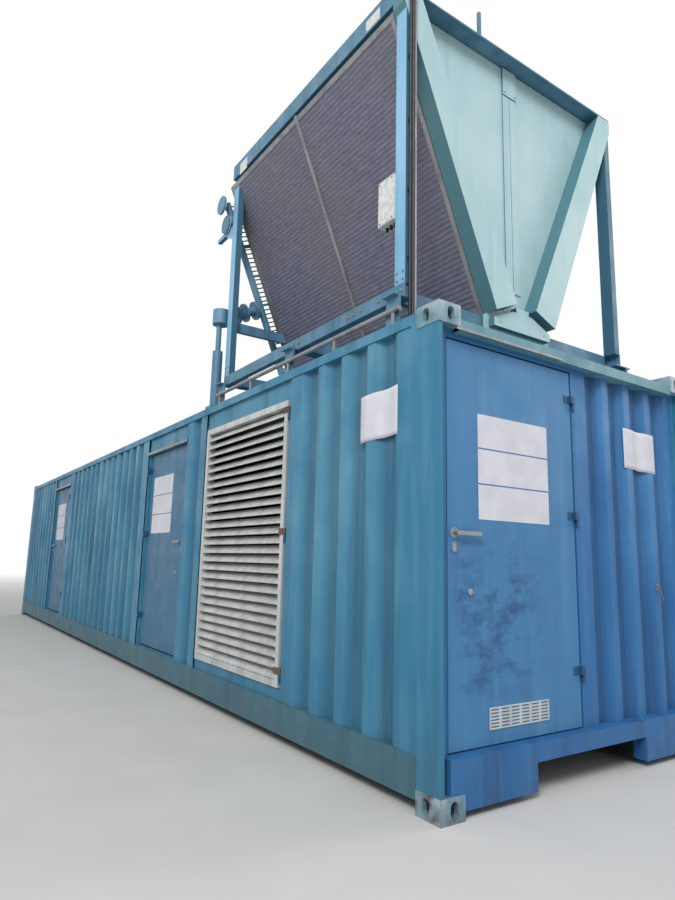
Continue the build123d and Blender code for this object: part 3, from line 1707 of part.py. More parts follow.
end_door_fittings.part.label = "end_door_fittings"
export_step(end_door_fittings.part, "parts/end_door_fittings.step")
end_door_lever.part.label = "end_door_lever"
export_step(end_door_lever.part, "parts/end_door_lever.step")
near_door_leaf.part.label = "near_door_leaf"
export_step(near_door_leaf.part, "parts/near_door_leaf.step")
near_door_fittings.part.label = "near_door_fittings"
export_step(near_door_fittings.part, "parts/near_door_fittings.step")
near_door_lever.part.label = "near_door_lever"
export_step(near_door_lever.part, "parts/near_door_lever.step")
far_door_leaf.part.label = "far_door_leaf"
export_step(far_door_leaf.part, "parts/far_door_leaf.step")
far_door_fittings.part.label = "far_door_fittings"
export_step(far_door_fittings.part, "parts/far_door_fittings.step")
far_door_lever.part.label = "far_door_lever"
export_step(far_door_lever.part, "parts/far_door_lever.step")
end_door_vent.part.label = "end_door_vent"
export_step(end_door_vent.part, "parts/end_door_vent.step")
louvre_frame.part.label = "louvre_frame"
export_step(louvre_frame.part, "parts/louvre_frame.step")
louvre_blades.part.label = "louvre_blades"
export_step(louvre_blades.part, "parts/louvre_blades.step")
louvre_hinges.part.label = "louvre_hinges"
export_step(louvre_hinges.part, "parts/louvre_hinges.step")
cooler_side_rails.part.label = "cooler_side_rails"
export_step(cooler_side_rails.part, "parts/cooler_side_rails.step")
cooler_cross_rails.part.label = "cooler_cross_rails"
export_step(cooler_cross_rails.part, "parts/cooler_cross_rails.step")
cooler_feet.part.label = "cooler_feet"
export_step(cooler_feet.part, "parts/cooler_feet.step")
cooler_posts.part.label = "cooler_posts"
export_step(cooler_posts.part, "parts/cooler_posts.step")
cooler_keel.part.label = "cooler_keel"
export_step(cooler_keel.part, "parts/cooler_keel.step")
cooler_legs.part.label = "cooler_legs"
export_step(cooler_legs.part, "parts/cooler_legs.step")
cooler_end_panels.part.label = "cooler_end_panels"
export_step(cooler_end_panels.part, "parts/cooler_end_panels.step")
coil_front_side.part.label = "coil_front_side"
export_step(coil_front_side.part, "parts/coil_front_side.step")
coil_back_side.part.label = "coil_back_side"
export_step(coil_back_side.part, "parts/coil_back_side.step")
coil_tube_sheets.part.label = "coil_tube_sheets"
export_step(coil_tube_sheets.part, "parts/coil_tube_sheets.step")
coil_mid_strips.part.label = "coil_mid_strips"
export_step(coil_mid_strips.part, "parts/coil_mid_strips.step")
cooler_edge_channels.part.label = "cooler_edge_channels"
export_step(cooler_edge_channels.part, "parts/cooler_edge_channels.step")
fan_deck.part.label = "fan_deck"
export_step(fan_deck.part, "parts/fan_deck.step")
fan_shrouds.part.label = "fan_shrouds"
export_step(fan_shrouds.part, "parts/fan_shrouds.step")
fan_guards.part.label = "fan_guards"
export_step(fan_guards.part, "parts/fan_guards.step")
fan_rotors.part.label = "fan_rotors"
export_step(fan_rotors.part, "parts/fan_rotors.step")
coil_headers.part.label = "coil_headers"
export_step(coil_headers.part, "parts/coil_headers.step")
water_pipes.part.label = "water_pipes"
export_step(water_pipes.part, "parts/water_pipes.step")
junction_box.part.label = "junction_box"
export_step(junction_box.part, "parts/junction_box.step")
post_cables.part.label = "post_cables"
export_step(post_cables.part, "parts/post_cables.step")
roof_conduit.part.label = "roof_conduit"
export_step(roof_conduit.part, "parts/roof_conduit.step")
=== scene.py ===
"""Looks for a containerised gas generator set with a dry cooler on its roof.

Metres, in the frame of the CAD model: +X is the end wall with the door, -Y the long side
with the louvre, +Z up, and the origin is the middle of the footprint on the ground.
"""

import json
from math import cos, pi, radians, sin

import bmesh
import bpy
from mathutils import Matrix, Vector


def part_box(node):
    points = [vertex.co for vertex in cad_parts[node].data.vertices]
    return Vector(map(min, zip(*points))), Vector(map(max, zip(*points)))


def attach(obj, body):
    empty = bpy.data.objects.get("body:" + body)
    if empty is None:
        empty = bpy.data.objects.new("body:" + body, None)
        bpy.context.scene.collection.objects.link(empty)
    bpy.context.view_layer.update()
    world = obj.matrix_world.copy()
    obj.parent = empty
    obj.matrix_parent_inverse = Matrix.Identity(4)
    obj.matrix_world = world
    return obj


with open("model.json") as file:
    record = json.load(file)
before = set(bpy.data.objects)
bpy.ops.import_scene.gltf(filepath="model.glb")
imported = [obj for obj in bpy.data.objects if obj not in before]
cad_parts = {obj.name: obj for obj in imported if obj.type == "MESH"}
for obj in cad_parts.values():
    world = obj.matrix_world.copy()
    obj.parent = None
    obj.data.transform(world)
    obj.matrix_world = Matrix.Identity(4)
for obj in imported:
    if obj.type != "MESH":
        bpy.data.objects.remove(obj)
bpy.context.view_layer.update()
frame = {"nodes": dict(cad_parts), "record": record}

ROOT = "container"
HALF_WIDTH = 1.219  # of the container, over its castings

# Colours are in sRGB and render about as they are written under plain light.
# Each paint has its usual colour, the one where it has chalked and the one where rain runs.
CONTAINER = ((0.165, 0.455, 0.590), (0.370, 0.600, 0.690), (0.070, 0.260, 0.370))
# The end wall's and the end door's paints are the container's paint made bluer, as painted shade
# on the end face
END_WALL_IN_SHADE = ((0.120, 0.390, 0.620), (0.270, 0.530, 0.730), (0.060, 0.230, 0.410))
END_DOOR_IN_SHADE = ((0.230, 0.470, 0.660), (0.420, 0.640, 0.790), (0.120, 0.320, 0.510))
SIDE_DOOR = ((0.200, 0.400, 0.530), (0.360, 0.530, 0.660), (0.100, 0.260, 0.400))
# The end header's paint is the container's paint made paler, as painted sunlight on the header's
# face
END_HEADER_SUNLIT = ((0.360, 0.560, 0.610), (0.530, 0.700, 0.730), (0.190, 0.400, 0.460))
BOTTOM_RAIL = ((0.210, 0.390, 0.460), (0.340, 0.490, 0.530), (0.120, 0.280, 0.340))
COOLER = ((0.290, 0.470, 0.570), (0.440, 0.620, 0.720), (0.150, 0.320, 0.410))
# The posts' and legs' paints are the cooler's paint as the sun lights it, as painted sunlight;
# their painted shade follows below
COOLER_POST_SUNLIT = ((0.470, 0.680, 0.820), (0.600, 0.780, 0.880), (0.300, 0.500, 0.640))
COOLER_LEG_SUNLIT = ((0.650, 0.780, 0.800), (0.740, 0.840, 0.860), (0.500, 0.680, 0.690))

# The same paints as painted shade, for the faces turned away from the light, and brush marks on
# the end door
COOLER_PAINTED_SHADE = (0.190, 0.370, 0.450)
LEG_PAINTED_SHADE = (0.230, 0.440, 0.490)
SCUFF = (0.090, 0.260, 0.470)

CASTING = (0.390, 0.540, 0.600)
CASTING_PALE = (0.640, 0.710, 0.750)
RUST = (0.330, 0.170, 0.090)
DIRT = (0.250, 0.240, 0.220)
ALUMINIUM = (0.800, 0.810, 0.810)
ALUMINIUM_DULL = (0.46, 0.46, 0.45)
STEEL = (0.600, 0.610, 0.620)
STEEL_DULL = (0.30, 0.29, 0.27)
STEEL_RUSTED = (0.42, 0.36, 0.32)
HINGE = (0.140, 0.330, 0.480)
HINGE_DARK = (0.070, 0.180, 0.290)
COIL = (0.530, 0.530, 0.610)
COIL_DARK = (0.320, 0.325, 0.385)
COIL_DUST = (0.46, 0.45, 0.47)
WHITE = (0.860, 0.870, 0.860)
PLASTIC = (0.84, 0.84, 0.88)
LINING = (0.55, 0.55, 0.52)
PLYWOOD = (0.30, 0.22, 0.15)
DARK = (0.10, 0.12, 0.13)
RUBBER = (0.045, 0.050, 0.055)
FLOOR = (0.80, 0.80, 0.79)


def linear(colour):
    """The same colour as Blender's sockets take it, with alpha."""
    parts = [c / 12.92 if c <= 0.04045 else ((c + 0.055) / 1.055) ** 2.4 for c in colour]
    return (*parts, 1.0)


class Graph:
    """Builds one material's nodes, with every texture in the object's own metres."""

    def __init__(self, name, roughness=0.5, metallic=0.0):
        self.material = bpy.data.materials.new(name)
        self.material.use_nodes = True
        self.nodes = self.material.node_tree.nodes
        self.links = self.material.node_tree.links
        self.shader = self.nodes["Principled BSDF"]
        self.shader.inputs["Roughness"].default_value = roughness
        self.shader.inputs["Metallic"].default_value = metallic
        coordinates = self.nodes.new("ShaderNodeTexCoord")
        self.place = coordinates.outputs["Object"]
        self.facing = coordinates.outputs["Normal"]

    def set(self, socket, value):
        """Puts a number, a colour or another node's output into a socket."""
        if isinstance(value, bpy.types.NodeSocket):
            self.links.new(value, socket)
        elif isinstance(value, tuple) and len(value) == 3 and socket.type == "RGBA":
            socket.default_value = linear(value)
        else:
            socket.default_value = value

    def stretched(self, x, y, z):
        """The place, scaled along each axis, to stretch a texture."""
        node = self.nodes.new("ShaderNodeMapping")
        node.inputs["Scale"].default_value = (x, y, z)
        self.links.new(self.place, node.inputs["Vector"])
        return node.outputs["Vector"]

    def axis(self, name, of=None):
        """One coordinate of the place, or of another vector."""
        node = self.nodes.new("ShaderNodeSeparateXYZ")
        self.links.new(of or self.place, node.inputs[0])
        return node.outputs[name]

    def noise(self, scale, detail=4.0, rough=0.5, at=None):
        """Cloudy noise from about 0.3 to 0.7."""
        node = self.nodes.new("ShaderNodeTexNoise")
        node.inputs["Scale"].default_value = scale
        node.inputs["Detail"].default_value = detail
        node.inputs["Roughness"].default_value = rough
        self.links.new(at or self.place, node.inputs["Vector"])
        return node.outputs["Fac"]

    def waves(self, scale, direction="X", distortion=0.0, detail=2.0):
        """Even bands across one axis."""
        node = self.nodes.new("ShaderNodeTexWave")
        node.bands_direction = direction
        node.inputs["Scale"].default_value = scale
        node.inputs["Distortion"].default_value = distortion
        node.inputs["Detail"].default_value = detail
        self.links.new(self.place, node.inputs["Vector"])
        return node.outputs["Fac"]

    def spread(self, value, low, high, to_low=0.0, to_high=1.0):
        """Maps low..high to to_low..to_high, held at both ends."""
        node = self.nodes.new("ShaderNodeMapRange")
        self.set(node.inputs["Value"], value)
        node.inputs["From Min"].default_value = low
        node.inputs["From Max"].default_value = high
        node.inputs["To Min"].default_value = to_low
        node.inputs["To Max"].default_value = to_high
        return node.outputs["Result"]

    def math(self, operation, a, b=0.0):
        """One sum of two values."""
        node = self.nodes.new("ShaderNodeMath")
        node.operation = operation
        self.set(node.inputs[0], a)
        self.set(node.inputs[1], b)
        return node.outputs[0]

    def times(self, a, b):
        """One value times another."""
        return self.math("MULTIPLY", a, b)

    def mix(self, share, a, b):
        """Colour a, with that share of colour b."""
        node = self.nodes.new("ShaderNodeMix")
        node.data_type = "RGBA"
        self.set(node.inputs["Factor"], share)
        self.set(node.inputs[6], a)
        self.set(node.inputs[7], b)
        return node.outputs[2]

    def bump(self, height, distance, strength=1.0, under=None):
        """A relief of that many metres, on top of another relief."""
        node = self.nodes.new("ShaderNodeBump")
        node.inputs["Distance"].default_value = distance
        node.inputs["Strength"].default_value = strength
        self.set(node.inputs["Height"], height)
        if under is not None:
            self.links.new(under, node.inputs["Normal"])
        return node.outputs["Normal"]

    def finish(self, colour, roughness=None, normal=None):
        """Joins the pieces to the shader and gives the material."""
        self.set(self.shader.inputs["Base Color"], colour)
        if roughness is not None:
            self.set(self.shader.inputs["Roughness"], roughness)
        if normal is not None:
            self.set(self.shader.inputs["Normal"], normal)
        return self.material


def shaded_valleys(g, colour, deep, axis, bottom, crest):
    """Painted shade between a wall's folds: the deep colour, by the distance from the middle
    plane.
    """
    depth = g.spread(g.math("ABSOLUTE", g.axis(axis)), bottom, crest, 0.5, 0.0)
    return g.mix(depth, colour, deep)


def shaded_past(g, colour, axis, place, there):
    """Another colour past that place along the axis: the end face's painted shade, for the jambs.
    """
    return g.mix(g.spread(g.axis(axis), place, place + 0.01, 0.0, 0.85), colour, there)


def scuffed(g, colour, free_edge, inner_edge, lowest, highest):
    """Brush marks on a leaf in the end wall, fading out at the edges of that patch."""
    across = g.times(
        g.spread(g.axis("Y"), free_edge, free_edge + 0.08),
        g.spread(g.axis("Y"), inner_edge - 0.30, inner_edge, 1.0, 0.0),
    )
    upward = g.times(
        g.spread(g.axis("Z"), lowest, lowest + 0.20),
        g.spread(g.axis("Z"), highest - 0.35, highest, 1.0, 0.0),
    )
    brushed = g.spread(g.noise(1.0, 9.0, 0.72, g.stretched(4.5, 4.5, 7.0)), 0.46, 0.62)
    marks = g.times(g.times(across, upward), brushed)
    return g.mix(g.times(marks, 0.8), colour, SCUFF)


def shaded_sides(g, colour, axis, sign, shaded):
    """Painted shade: faces that look another way get the shaded colour, and for Y so does all
    behind the coils; faces that look that way keep the sunlit one.
    """
    turned = g.times(g.axis(axis, g.facing), float(sign))
    if axis == "Y":
        turned = g.times(turned, g.spread(g.axis("Y"), 0.4, 0.5, 1.0, 0.0))
    return g.mix(g.spread(turned, 0.55, 0.85, 0.92, 0.0), colour, shaded)


def weathered_paint(
    name, tones, chalk=0.7, streaks=0.6, dirt_top=0.45, rust=0.2,
    valleys=None, shade_past=None, scuffs=None, shade=None,
):
    """Old enamel: chalky patches, runs from the top, dirt near the ground, specks of rust.

    Its last four arguments are the last arguments of the four helpers above, in their order, for
    a paint
    that has such places: painted shade in a wall's folds, another colour past a place (the end
    face's painted shade), brush marks, and painted shade on faces turned from the light.
    """
    g = Graph(name)
    base, pale, deep = tones
    patches = g.spread(g.noise(0.9, 5.0, 0.6), 0.42, 0.66)
    patches = g.times(patches, g.spread(g.axis("Z"), 0.4, 2.0, 0.3, 1.0))
    colour = g.mix(g.times(patches, chalk), base, pale)
    runs = g.spread(g.noise(1.0, 6.0, 0.6, g.stretched(7.0, 7.0, 0.45)), 0.5, 0.72)
    colour = g.mix(g.times(runs, streaks), colour, deep)
    wash = g.spread(g.noise(1.0, 4.0, 0.55, g.stretched(11.0, 11.0, 0.9)), 0.52, 0.7)
    colour = g.mix(g.times(wash, 0.35 * chalk), colour, pale)
    if valleys:
        colour = shaded_valleys(g, colour, deep, *valleys)
    if shade_past:
        colour = shaded_past(g, colour, *shade_past)
    if scuffs:
        colour = scuffed(g, colour, *scuffs)
    if shade:
        colour = shaded_sides(g, colour, *shade)
    low = g.spread(g.axis("Z"), 0.0, dirt_top, 1.0, 0.0)
    grime = g.times(low, g.spread(g.noise(9.0, 6.0, 0.65), 0.35, 0.65))
    colour = g.mix(g.times(grime, 0.38), colour, DIRT)
    specks = g.spread(g.noise(21.0, 8.0, 0.7), 0.66, 0.72)
    colour = g.mix(g.times(specks, rust), colour, RUST)
    roughness = g.spread(g.noise(5.0, 4.0), 0.3, 0.7, 0.38, 0.62)
    dents = g.bump(g.noise(1.6, 2.0), 0.006, 0.35)
    peel = g.bump(g.noise(260.0, 2.0), 0.0004, 0.3, dents)
    return g.finish(colour, roughness, peel)


def casting_paint(name):
    """Cast steel under worn paint, rusty and damp low down, chalky high up."""
    g = Graph(name)
    dust = g.spread(g.noise(5.0, 5.0), 0.36, 0.62)
    colour = g.mix(dust, CASTING, CASTING_PALE)
    worn = g.spread(g.noise(14.0, 8.0, 0.7), 0.48, 0.64)
    low = g.spread(g.axis("Z"), 0.1, 1.2, 0.85, 0.25)
    colour = g.mix(g.times(worn, low), colour, RUST)
    damp = g.times(g.spread(g.axis("Z"), 0.0, 0.14, 0.7, 0.0), g.noise(9.0, 4.0))
    colour = g.mix(damp, colour, DIRT)
    roughness = g.spread(worn, 0, 1, 0.5, 0.85)
    return g.finish(colour, roughness, g.bump(g.noise(45.0, 8.0, 0.7), 0.002, 0.6))


def weathered_metal(name, base, dark, roughness, metallic=0.85, streak=0.5, bare=None):
    """Metal gone dull, with dirt that has run down it.

    bare is (axis, painted, unpainted): beyond that place along the axis it is bare steel.
    """
    g = Graph(name, metallic=metallic)
    runs = g.spread(g.noise(1.0, 6.0, 0.65, g.stretched(9.0, 9.0, 0.8)), 0.42, 0.68)
    colour = g.mix(g.times(runs, streak), base, dark)
    if bare:
        axis, painted, unpainted = bare
        colour = g.mix(g.spread(g.axis(axis), painted, unpainted), colour, STEEL)
    spots = g.spread(g.noise(30.0, 6.0, 0.7), 0.6, 0.7)
    colour = g.mix(g.times(spots, 0.25), colour, RUST)
    rough = g.spread(g.noise(12.0, 5.0), 0.3, 0.7, roughness - 0.1, roughness + 0.15)
    return g.finish(colour, rough, g.bump(g.noise(90.0, 4.0), 0.0005, 0.4))


def hinge_metal(name, bare=None):
    """Painted hinges and straps, bare steel past the place that is given."""
    return weathered_metal(name, HINGE, HINGE_DARK, 0.5, 0.2, bare=bare)


def finned(name):
    """A coil's face: fine fins up the slope, with the rows of tubes showing through."""
    g = Graph(name, roughness=0.6, metallic=0.35)
    fins = g.waves(60.0)
    rows = g.waves(9.6, "Z", 0.9, 3.0)
    dents = g.spread(g.noise(1.0, 7.0, 0.75, g.stretched(14.0, 26.0, 26.0)), 0.38, 0.66)
    light = g.times(g.spread(dents, 0, 1, 0.45, 1.0), g.spread(rows, 0, 1, 0.45, 1.0))
    colour = g.mix(light, COIL_DARK, COIL)
    dust = g.spread(g.noise(1.3, 4.0), 0.42, 0.65)
    colour = g.mix(g.times(dust, 0.45), colour, COIL_DUST)
    relief = g.bump(rows, 0.004, 0.5)
    relief = g.bump(dents, 0.004, 0.6, relief)
    relief = g.bump(fins, 0.001, 0.4, relief)
    return g.finish(colour, normal=relief)


def plain(name, colour, roughness=0.5, vary=0.12, grain=40.0):
    """A quiet material with a little unevenness."""
    g = Graph(name)
    darker = tuple(c * (1 - vary) for c in colour)
    tone = g.mix(g.spread(g.noise(grain, 5.0), 0.35, 0.65), colour, darker)
    rough = g.spread(g.noise(grain / 2, 3.0), 0.3, 0.7, roughness - 0.06, roughness + 0.08)
    return g.finish(tone, rough, g.bump(g.noise(grain * 4, 3.0), 0.0004, 0.3))


# Finishes by the record's material slots
MATERIALS = {
    "container_paint": weathered_paint("container_enamel", CONTAINER),
    "casting_paint": casting_paint("casting_enamel"),
    "wall_lining": plain("lining_board", LINING, 0.9),
    "floor_board": plain("floor_plywood", PLYWOOD, 0.7),
    "weathered_aluminium": weathered_metal(
        "mill_aluminium", ALUMINIUM, ALUMINIUM_DULL, 0.45, 0.45, streak=0.4,
    ),
    "galvanised_steel": weathered_metal("zinc", STEEL, STEEL_DULL, 0.45, 0.7),
    "cooler_paint": weathered_paint("cooler_enamel", COOLER, dirt_top=0.01),
    "coil_fins": finned("coil_face"),
    "white_coating": plain("white_powder_coat", WHITE, 0.4),
    "dark_paint": plain("dark_enamel", DARK, 0.5),
}
BLANK_PLASTIC = plain("blank_plastic", PLASTIC, 0.7, vary=0.05, grain=9.0)
# Black rubber for the door seals, which also stands for the shadow in the gaps round the leaves
SEAL_RUBBER_AND_GAP_SHADOW = plain("door_seal", RUBBER, 0.75)

# Nodes that look different from the rest of their slot
# Long walls: the deep colour in the folds is painted shade
wall_enamel = weathered_paint(
    "wall_enamel", CONTAINER, chalk=0.9, valleys=("Y", 1.171, 1.207),
)
# End wall: its bluer paint is painted shade, and so is the deep colour in its folds
end_enamel = weathered_paint(
    "end_enamel", END_WALL_IN_SHADE, chalk=0.9, valleys=("X", 5.986, 6.031),
)
# The sill in the end wall's bluer paint, as painted shade
sill_enamel = weathered_paint("sill_enamel", END_WALL_IN_SHADE)
# Jambs and heads: past the end wall's corner they take the end wall's bluer paint, as painted
# shade
jamb_enamel = weathered_paint(
    "jamb_enamel", CONTAINER, shade_past=("X", 5.90, END_WALL_IN_SHADE[0]),
)
door_enamel = weathered_paint("door_enamel", SIDE_DOOR, chalk=0.4, streaks=0.35)
# Legs, end panels and keel: the pale paint is painted sunlight on faces toward the end, and the
# rest gets painted shade
leg_enamel = weathered_paint(
    "leg_enamel", COOLER_LEG_SUNLIT, streaks=0.35, dirt_top=0.01, rust=0.08,
    shade=("X", 1, LEG_PAINTED_SHADE),
)
OWN_FINISH = {
    "front_wall_sheets": wall_enamel,
    "back_wall_sheet": wall_enamel,
    "end_wall_sheets": end_enamel,
    "end_sill_beams": sill_enamel,
    "end_sill_feet": sill_enamel,
    # The end headers' pale paint is painted sunlight, with real rust on it
    "end_headers": weathered_paint("header_enamel", END_HEADER_SUNLIT, rust=0.4),
    "bottom_side_rails": weathered_paint("rail_enamel", BOTTOM_RAIL),
    "rain_gutters": MATERIALS["galvanised_steel"],
    "door_jambs": jamb_enamel,
    "door_heads": jamb_enamel,
    # The end door's bluer paint is painted shade; its scuffs are brush marks
    "end_door_leaf": weathered_paint(
        "scuffed_enamel", END_DOOR_IN_SHADE, chalk=0.4, streaks=0.35, scuffs=(-1.10, -0.28, 0.45, 1.45),
    ),
    "near_door_leaf": door_enamel,
    "far_door_leaf": door_enamel,
    "frame_hinges": hinge_metal("hinge_enamel"),
    "end_door_fittings": hinge_metal("end_fittings", ("Y", -0.60, -0.61)),
    "near_door_fittings": hinge_metal("near_fittings", ("X", 1.90, 1.91)),
    "far_door_fittings": hinge_metal("far_fittings", ("X", -3.20, -3.21)),
    "louvre_hinges": weathered_metal("rusty_steel", STEEL_RUSTED, RUST, 0.65, 0.4, streak=0.85),
    "cooler_legs": leg_enamel,
    "cooler_end_panels": leg_enamel,
    "cooler_keel": leg_enamel,
    # Posts: pale paint as painted sunlight on faces toward the long side, and painted shade on
    # other faces and on all behind the coils
    "cooler_posts": weathered_paint(
        "post_enamel", COOLER_POST_SUNLIT, dirt_top=0.01, shade=("Y", -1, COOLER_PAINTED_SHADE),
    ),
    # Edge channels: painted shade on faces not toward the long side and on all behind the coils
    "cooler_edge_channels": weathered_paint(
        "edge_enamel", COOLER, dirt_top=0.01, shade=("Y", -1, COOLER_PAINTED_SHADE),
    ),
}

slot_of = {part["node"]: part["material_slot"] for part in frame["record"]["subparts"]}
for node_name, node_object in frame["nodes"].items():
    finish = OWN_FINISH.get(node_name, MATERIALS[slot_of[node_name]])
    node_object.data.materials.clear()
    node_object.data.materials.append(finish)


class Piece:
    """One mesh put together from simple solids, in the CAD frame."""

    def __init__(self):
        self.mesh = bmesh.new()

    def box(self, low, high):
        """A bar between its two corners."""
        low, high = Vector(low), Vector(high)
        stretch = Matrix.Diagonal((*(high - low), 1))
        place = Matrix.Translation((low + high) / 2) @ stretch
        bmesh.ops.create_cube(self.mesh, size=1.0, matrix=place)

    def rod(self, start, end, radius, sides=12, tip=None):
        """A round bar between two points, with another radius at its tip if given."""
        start, end = Vector(start), Vector(end)
        run = end - start
        turned = run.to_track_quat("Z", "Y").to_matrix().to_4x4()
        bmesh.ops.create_cone(
            self.mesh, cap_ends=True, segments=sides, radius1=radius,
            radius2=radius if tip is None else tip, depth=run.length,
            matrix=Matrix.Translation((start + end) / 2) @ turned,
        )

    def bolt(self, at, way, size):
        """A washer, a hexagonal head and its crown, standing that way on a face."""
        at, way = Vector(at), Vector(way).normalized()
        washer, head, crown = (at + way * size * part for part in (0.22, 0.75, 0.9))
        self.rod(at, washer, size * 1.05, 14, size)
        self.rod(washer, head, size * 0.62, 6)
        self.rod(head, crown, size * 0.55, 6, size * 0.36)

    def ring(self, centre, way, radius, thickness, around=40, across=8):
        """A ring of round wire about an axis."""
        centre, way = Vector(centre), Vector(way).normalized()
        side = way.orthogonal().normalized()
        other = way.cross(side)
        loops = []
        for i in range(around):
            turn = 2 * pi * i / around
            out = side * cos(turn) + other * sin(turn)
            loops.append([
                self.mesh.verts.new(
                    centre + out * (radius + thickness * cos(2 * pi * j / across))
                    + way * thickness * sin(2 * pi * j / across)
                ) for j in range(across)
            ])
        for i in range(around):
            here, after = loops[i], loops[(i + 1) % around]
            for j in range(across):
                step = (j + 1) % across
                self.mesh.faces.new((here[j], after[j], after[step], here[step]))

    def finish(self, name, slot, body=ROOT, material=None, edge=0.0):
        """Makes the object, with its edges rounded by that radius."""
        bmesh.ops.recalc_face_normals(self.mesh, faces=self.mesh.faces)
        mesh = bpy.data.meshes.new(name)
        self.mesh.to_mesh(mesh)
        self.mesh.free()
        mesh.materials.append(material or MATERIALS[slot])
        piece = bpy.data.objects.new(name, mesh)
        bpy.context.collection.objects.link(piece)
        if edge:
            rounding = piece.modifiers.new("rounding", "BEVEL")
            rounding.width = edge
            rounding.segments = 2
            rounding.limit_method = "ANGLE"
        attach(piece, body)
        return piece


def span(node, axis):
    """Lowest and highest coordinate of a CAD node along one axis."""
    low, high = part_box(node)
    return low[axis], high[axis]


X, Y, Z = range(3)
TO_END, TO_SIDE = (1, 0, 0), (0, -1, 0)  # the ways out of the end wall and of the long side

END_DOOR_FACE = span("end_door_leaf", X)[1]
SIDE_DOOR_FACE = span("near_door_leaf", Y)[0]
END_WALL_FACE = span("end_wall_sheets", X)[1]
SIDE_WALL_FACE = span("front_wall_sheets", Y)[0]


def wall_point(end_wall, out, along, up):
    """A point on the end wall or the long side: its place across, along and up the wall."""
    return (out, along, up) if end_wall else (along, out, up)


PLATE_THICKNESS, PLATE_EDGE = 0.002, 0.0006


def blank_plates(name, body, end_wall, start, end, bottom, top, rows=3, margin=0.004):
    """A stack of thin blank plates on a door."""
    back = END_DOOR_FACE if end_wall else SIDE_DOOR_FACE - PLATE_THICKNESS
    front = back + PLATE_THICKNESS
    step = (top - bottom) / rows
    piece = Piece()
    for row in range(rows):
        piece.box(
            wall_point(end_wall, back, start, bottom + row * step + margin),
            wall_point(end_wall, front, end, bottom + (row + 1) * step - margin),
        )
    piece.finish(name, "white_coating", body, BLANK_PLASTIC, edge=PLATE_EDGE)


blank_plates("end_door_plates", "end_door", True, -0.878, -0.289, 1.440, 2.030)
blank_plates("near_door_plates", "near_side_door", False, 1.50, 2.09, 1.450, 2.065)
blank_plates("far_door_plates", "far_side_door", False, -3.62, -3.03, 1.450, 2.065)


def hung_panel(name, end_wall, low, high, crests, sag, tilt, columns=28, rows=10):
    """A thin plastic panel fixed on a corrugated wall, sagging into its valleys.

    low and high are its corners along and up the wall, and crests the folds that it rests on.
    tilt is a place along the wall and the height that the panel gains in each metre from there.
    """
    gauge, clearance, ease_over = 0.0012, 0.0015, 0.09
    middle, slope = tilt
    face, inward = (END_WALL_FACE, -1) if end_wall else (SIDE_WALL_FACE, 1)

    def corner(column, row):
        along = low[0] + (high[0] - low[0]) * column / columns
        up = low[1] + (high[1] - low[1]) * row / rows
        off = min(max(start - along, along - end, 0.0) for start, end in crests)
        ease = min(off / ease_over, 1.0)
        dip = sag * ease**2 * (3 - 2 * ease)
        out = face - inward * clearance + inward * dip
        return wall_point(end_wall, out, along, up + slope * (along - middle))

    piece = Piece()
    grid = [
        [piece.mesh.verts.new(corner(column, row)) for column in range(columns + 1)]
        for row in range(rows + 1)
    ]
    for this, above in zip(grid, grid[1:]):
        for i in range(columns):
            piece.mesh.faces.new((this[i], this[i + 1], above[i + 1], above[i]))
    made = piece.finish(name, "white_coating", ROOT, BLANK_PLASTIC)
    thick = made.modifiers.new("gauge", "SOLIDIFY")
    thick.thickness = gauge
    thick.offset = 0.0
    for polygon in made.data.polygons:
        polygon.use_smooth = True


hung_panel(
    "end_wall_blank_panel", True, (0.530, 1.865), (0.905, 2.140),
    crests=((0.305, 0.371), (0.555, 0.621), (0.805, 0.871)), sag=0.016, tilt=(0.616, -0.03),
)
hung_panel(
    "side_wall_blank_panel", False, (5.380, 1.910), (5.746, 2.195),
    crests=((5.458, 5.530), (5.736, 5.896)), sag=0.014, tilt=(5.56, 0.02),
)

# Blank plates on the front edge channel: where each starts and ends, and its height
CHANNEL_X = span("cooler_edge_channels", X)
CHANNEL_Y = span("cooler_edge_channels", Y)
plates = Piece()
for start, end, bottom, top in ((5.285, 5.443, 4.862, 4.950), (3.270, 3.420, 4.830, 4.945)):
    plates.box((start, CHANNEL_Y[0] - PLATE_THICKNESS, bottom), (end, CHANNEL_Y[0], top))
plates.finish("channel_plates", "white_coating", edge=PLATE_EDGE)

# Black rubber seals behind the leaves' edges, reaching past them so that they also stand for the
# shadow in the gaps, as painted shadow; and how far they reach: past the leaf, behind its sides,
# behind its head, and over its head at the sides
SEAL_PAST, SEAL_SIDE, SEAL_HEAD, SEAL_OVER = 0.0095, 0.009, 0.004, 0.009
SEAL_NEAR, SEAL_FAR = 0.0004, 0.0028  # their two faces, behind the leaf's back
SEALED_LEAVES = (("end_door_leaf", True), ("near_door_leaf", False), ("far_door_leaf", False))
seals_and_gap_shadow = Piece()
for leaf, end_wall in SEALED_LEAVES:
    low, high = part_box(leaf)
    if end_wall:
        start, end = low[Y], high[Y]
        front, back = low[X] - SEAL_FAR, low[X] - SEAL_NEAR
    else:
        start, end = low[X], high[X]
        front, back = high[Y] + SEAL_NEAR, high[Y] + SEAL_FAR
    for left, right, bottom, top in (
        (start - SEAL_PAST, start + SEAL_SIDE, low[Z], high[Z] + SEAL_OVER),
        (end - SEAL_SIDE, end + SEAL_PAST, low[Z], high[Z] + SEAL_OVER),
        (start, end, high[Z] - SEAL_HEAD, high[Z] + SEAL_PAST),
    ):
        seals_and_gap_shadow.box(
            wall_point(end_wall, front, left, bottom), wall_point(end_wall, back, right, top),
        )
seals_and_gap_shadow.finish("door_seals_and_gap_shadow", "dark_paint", ROOT, SEAL_RUBBER_AND_GAP_SHADOW, edge=0.0005)

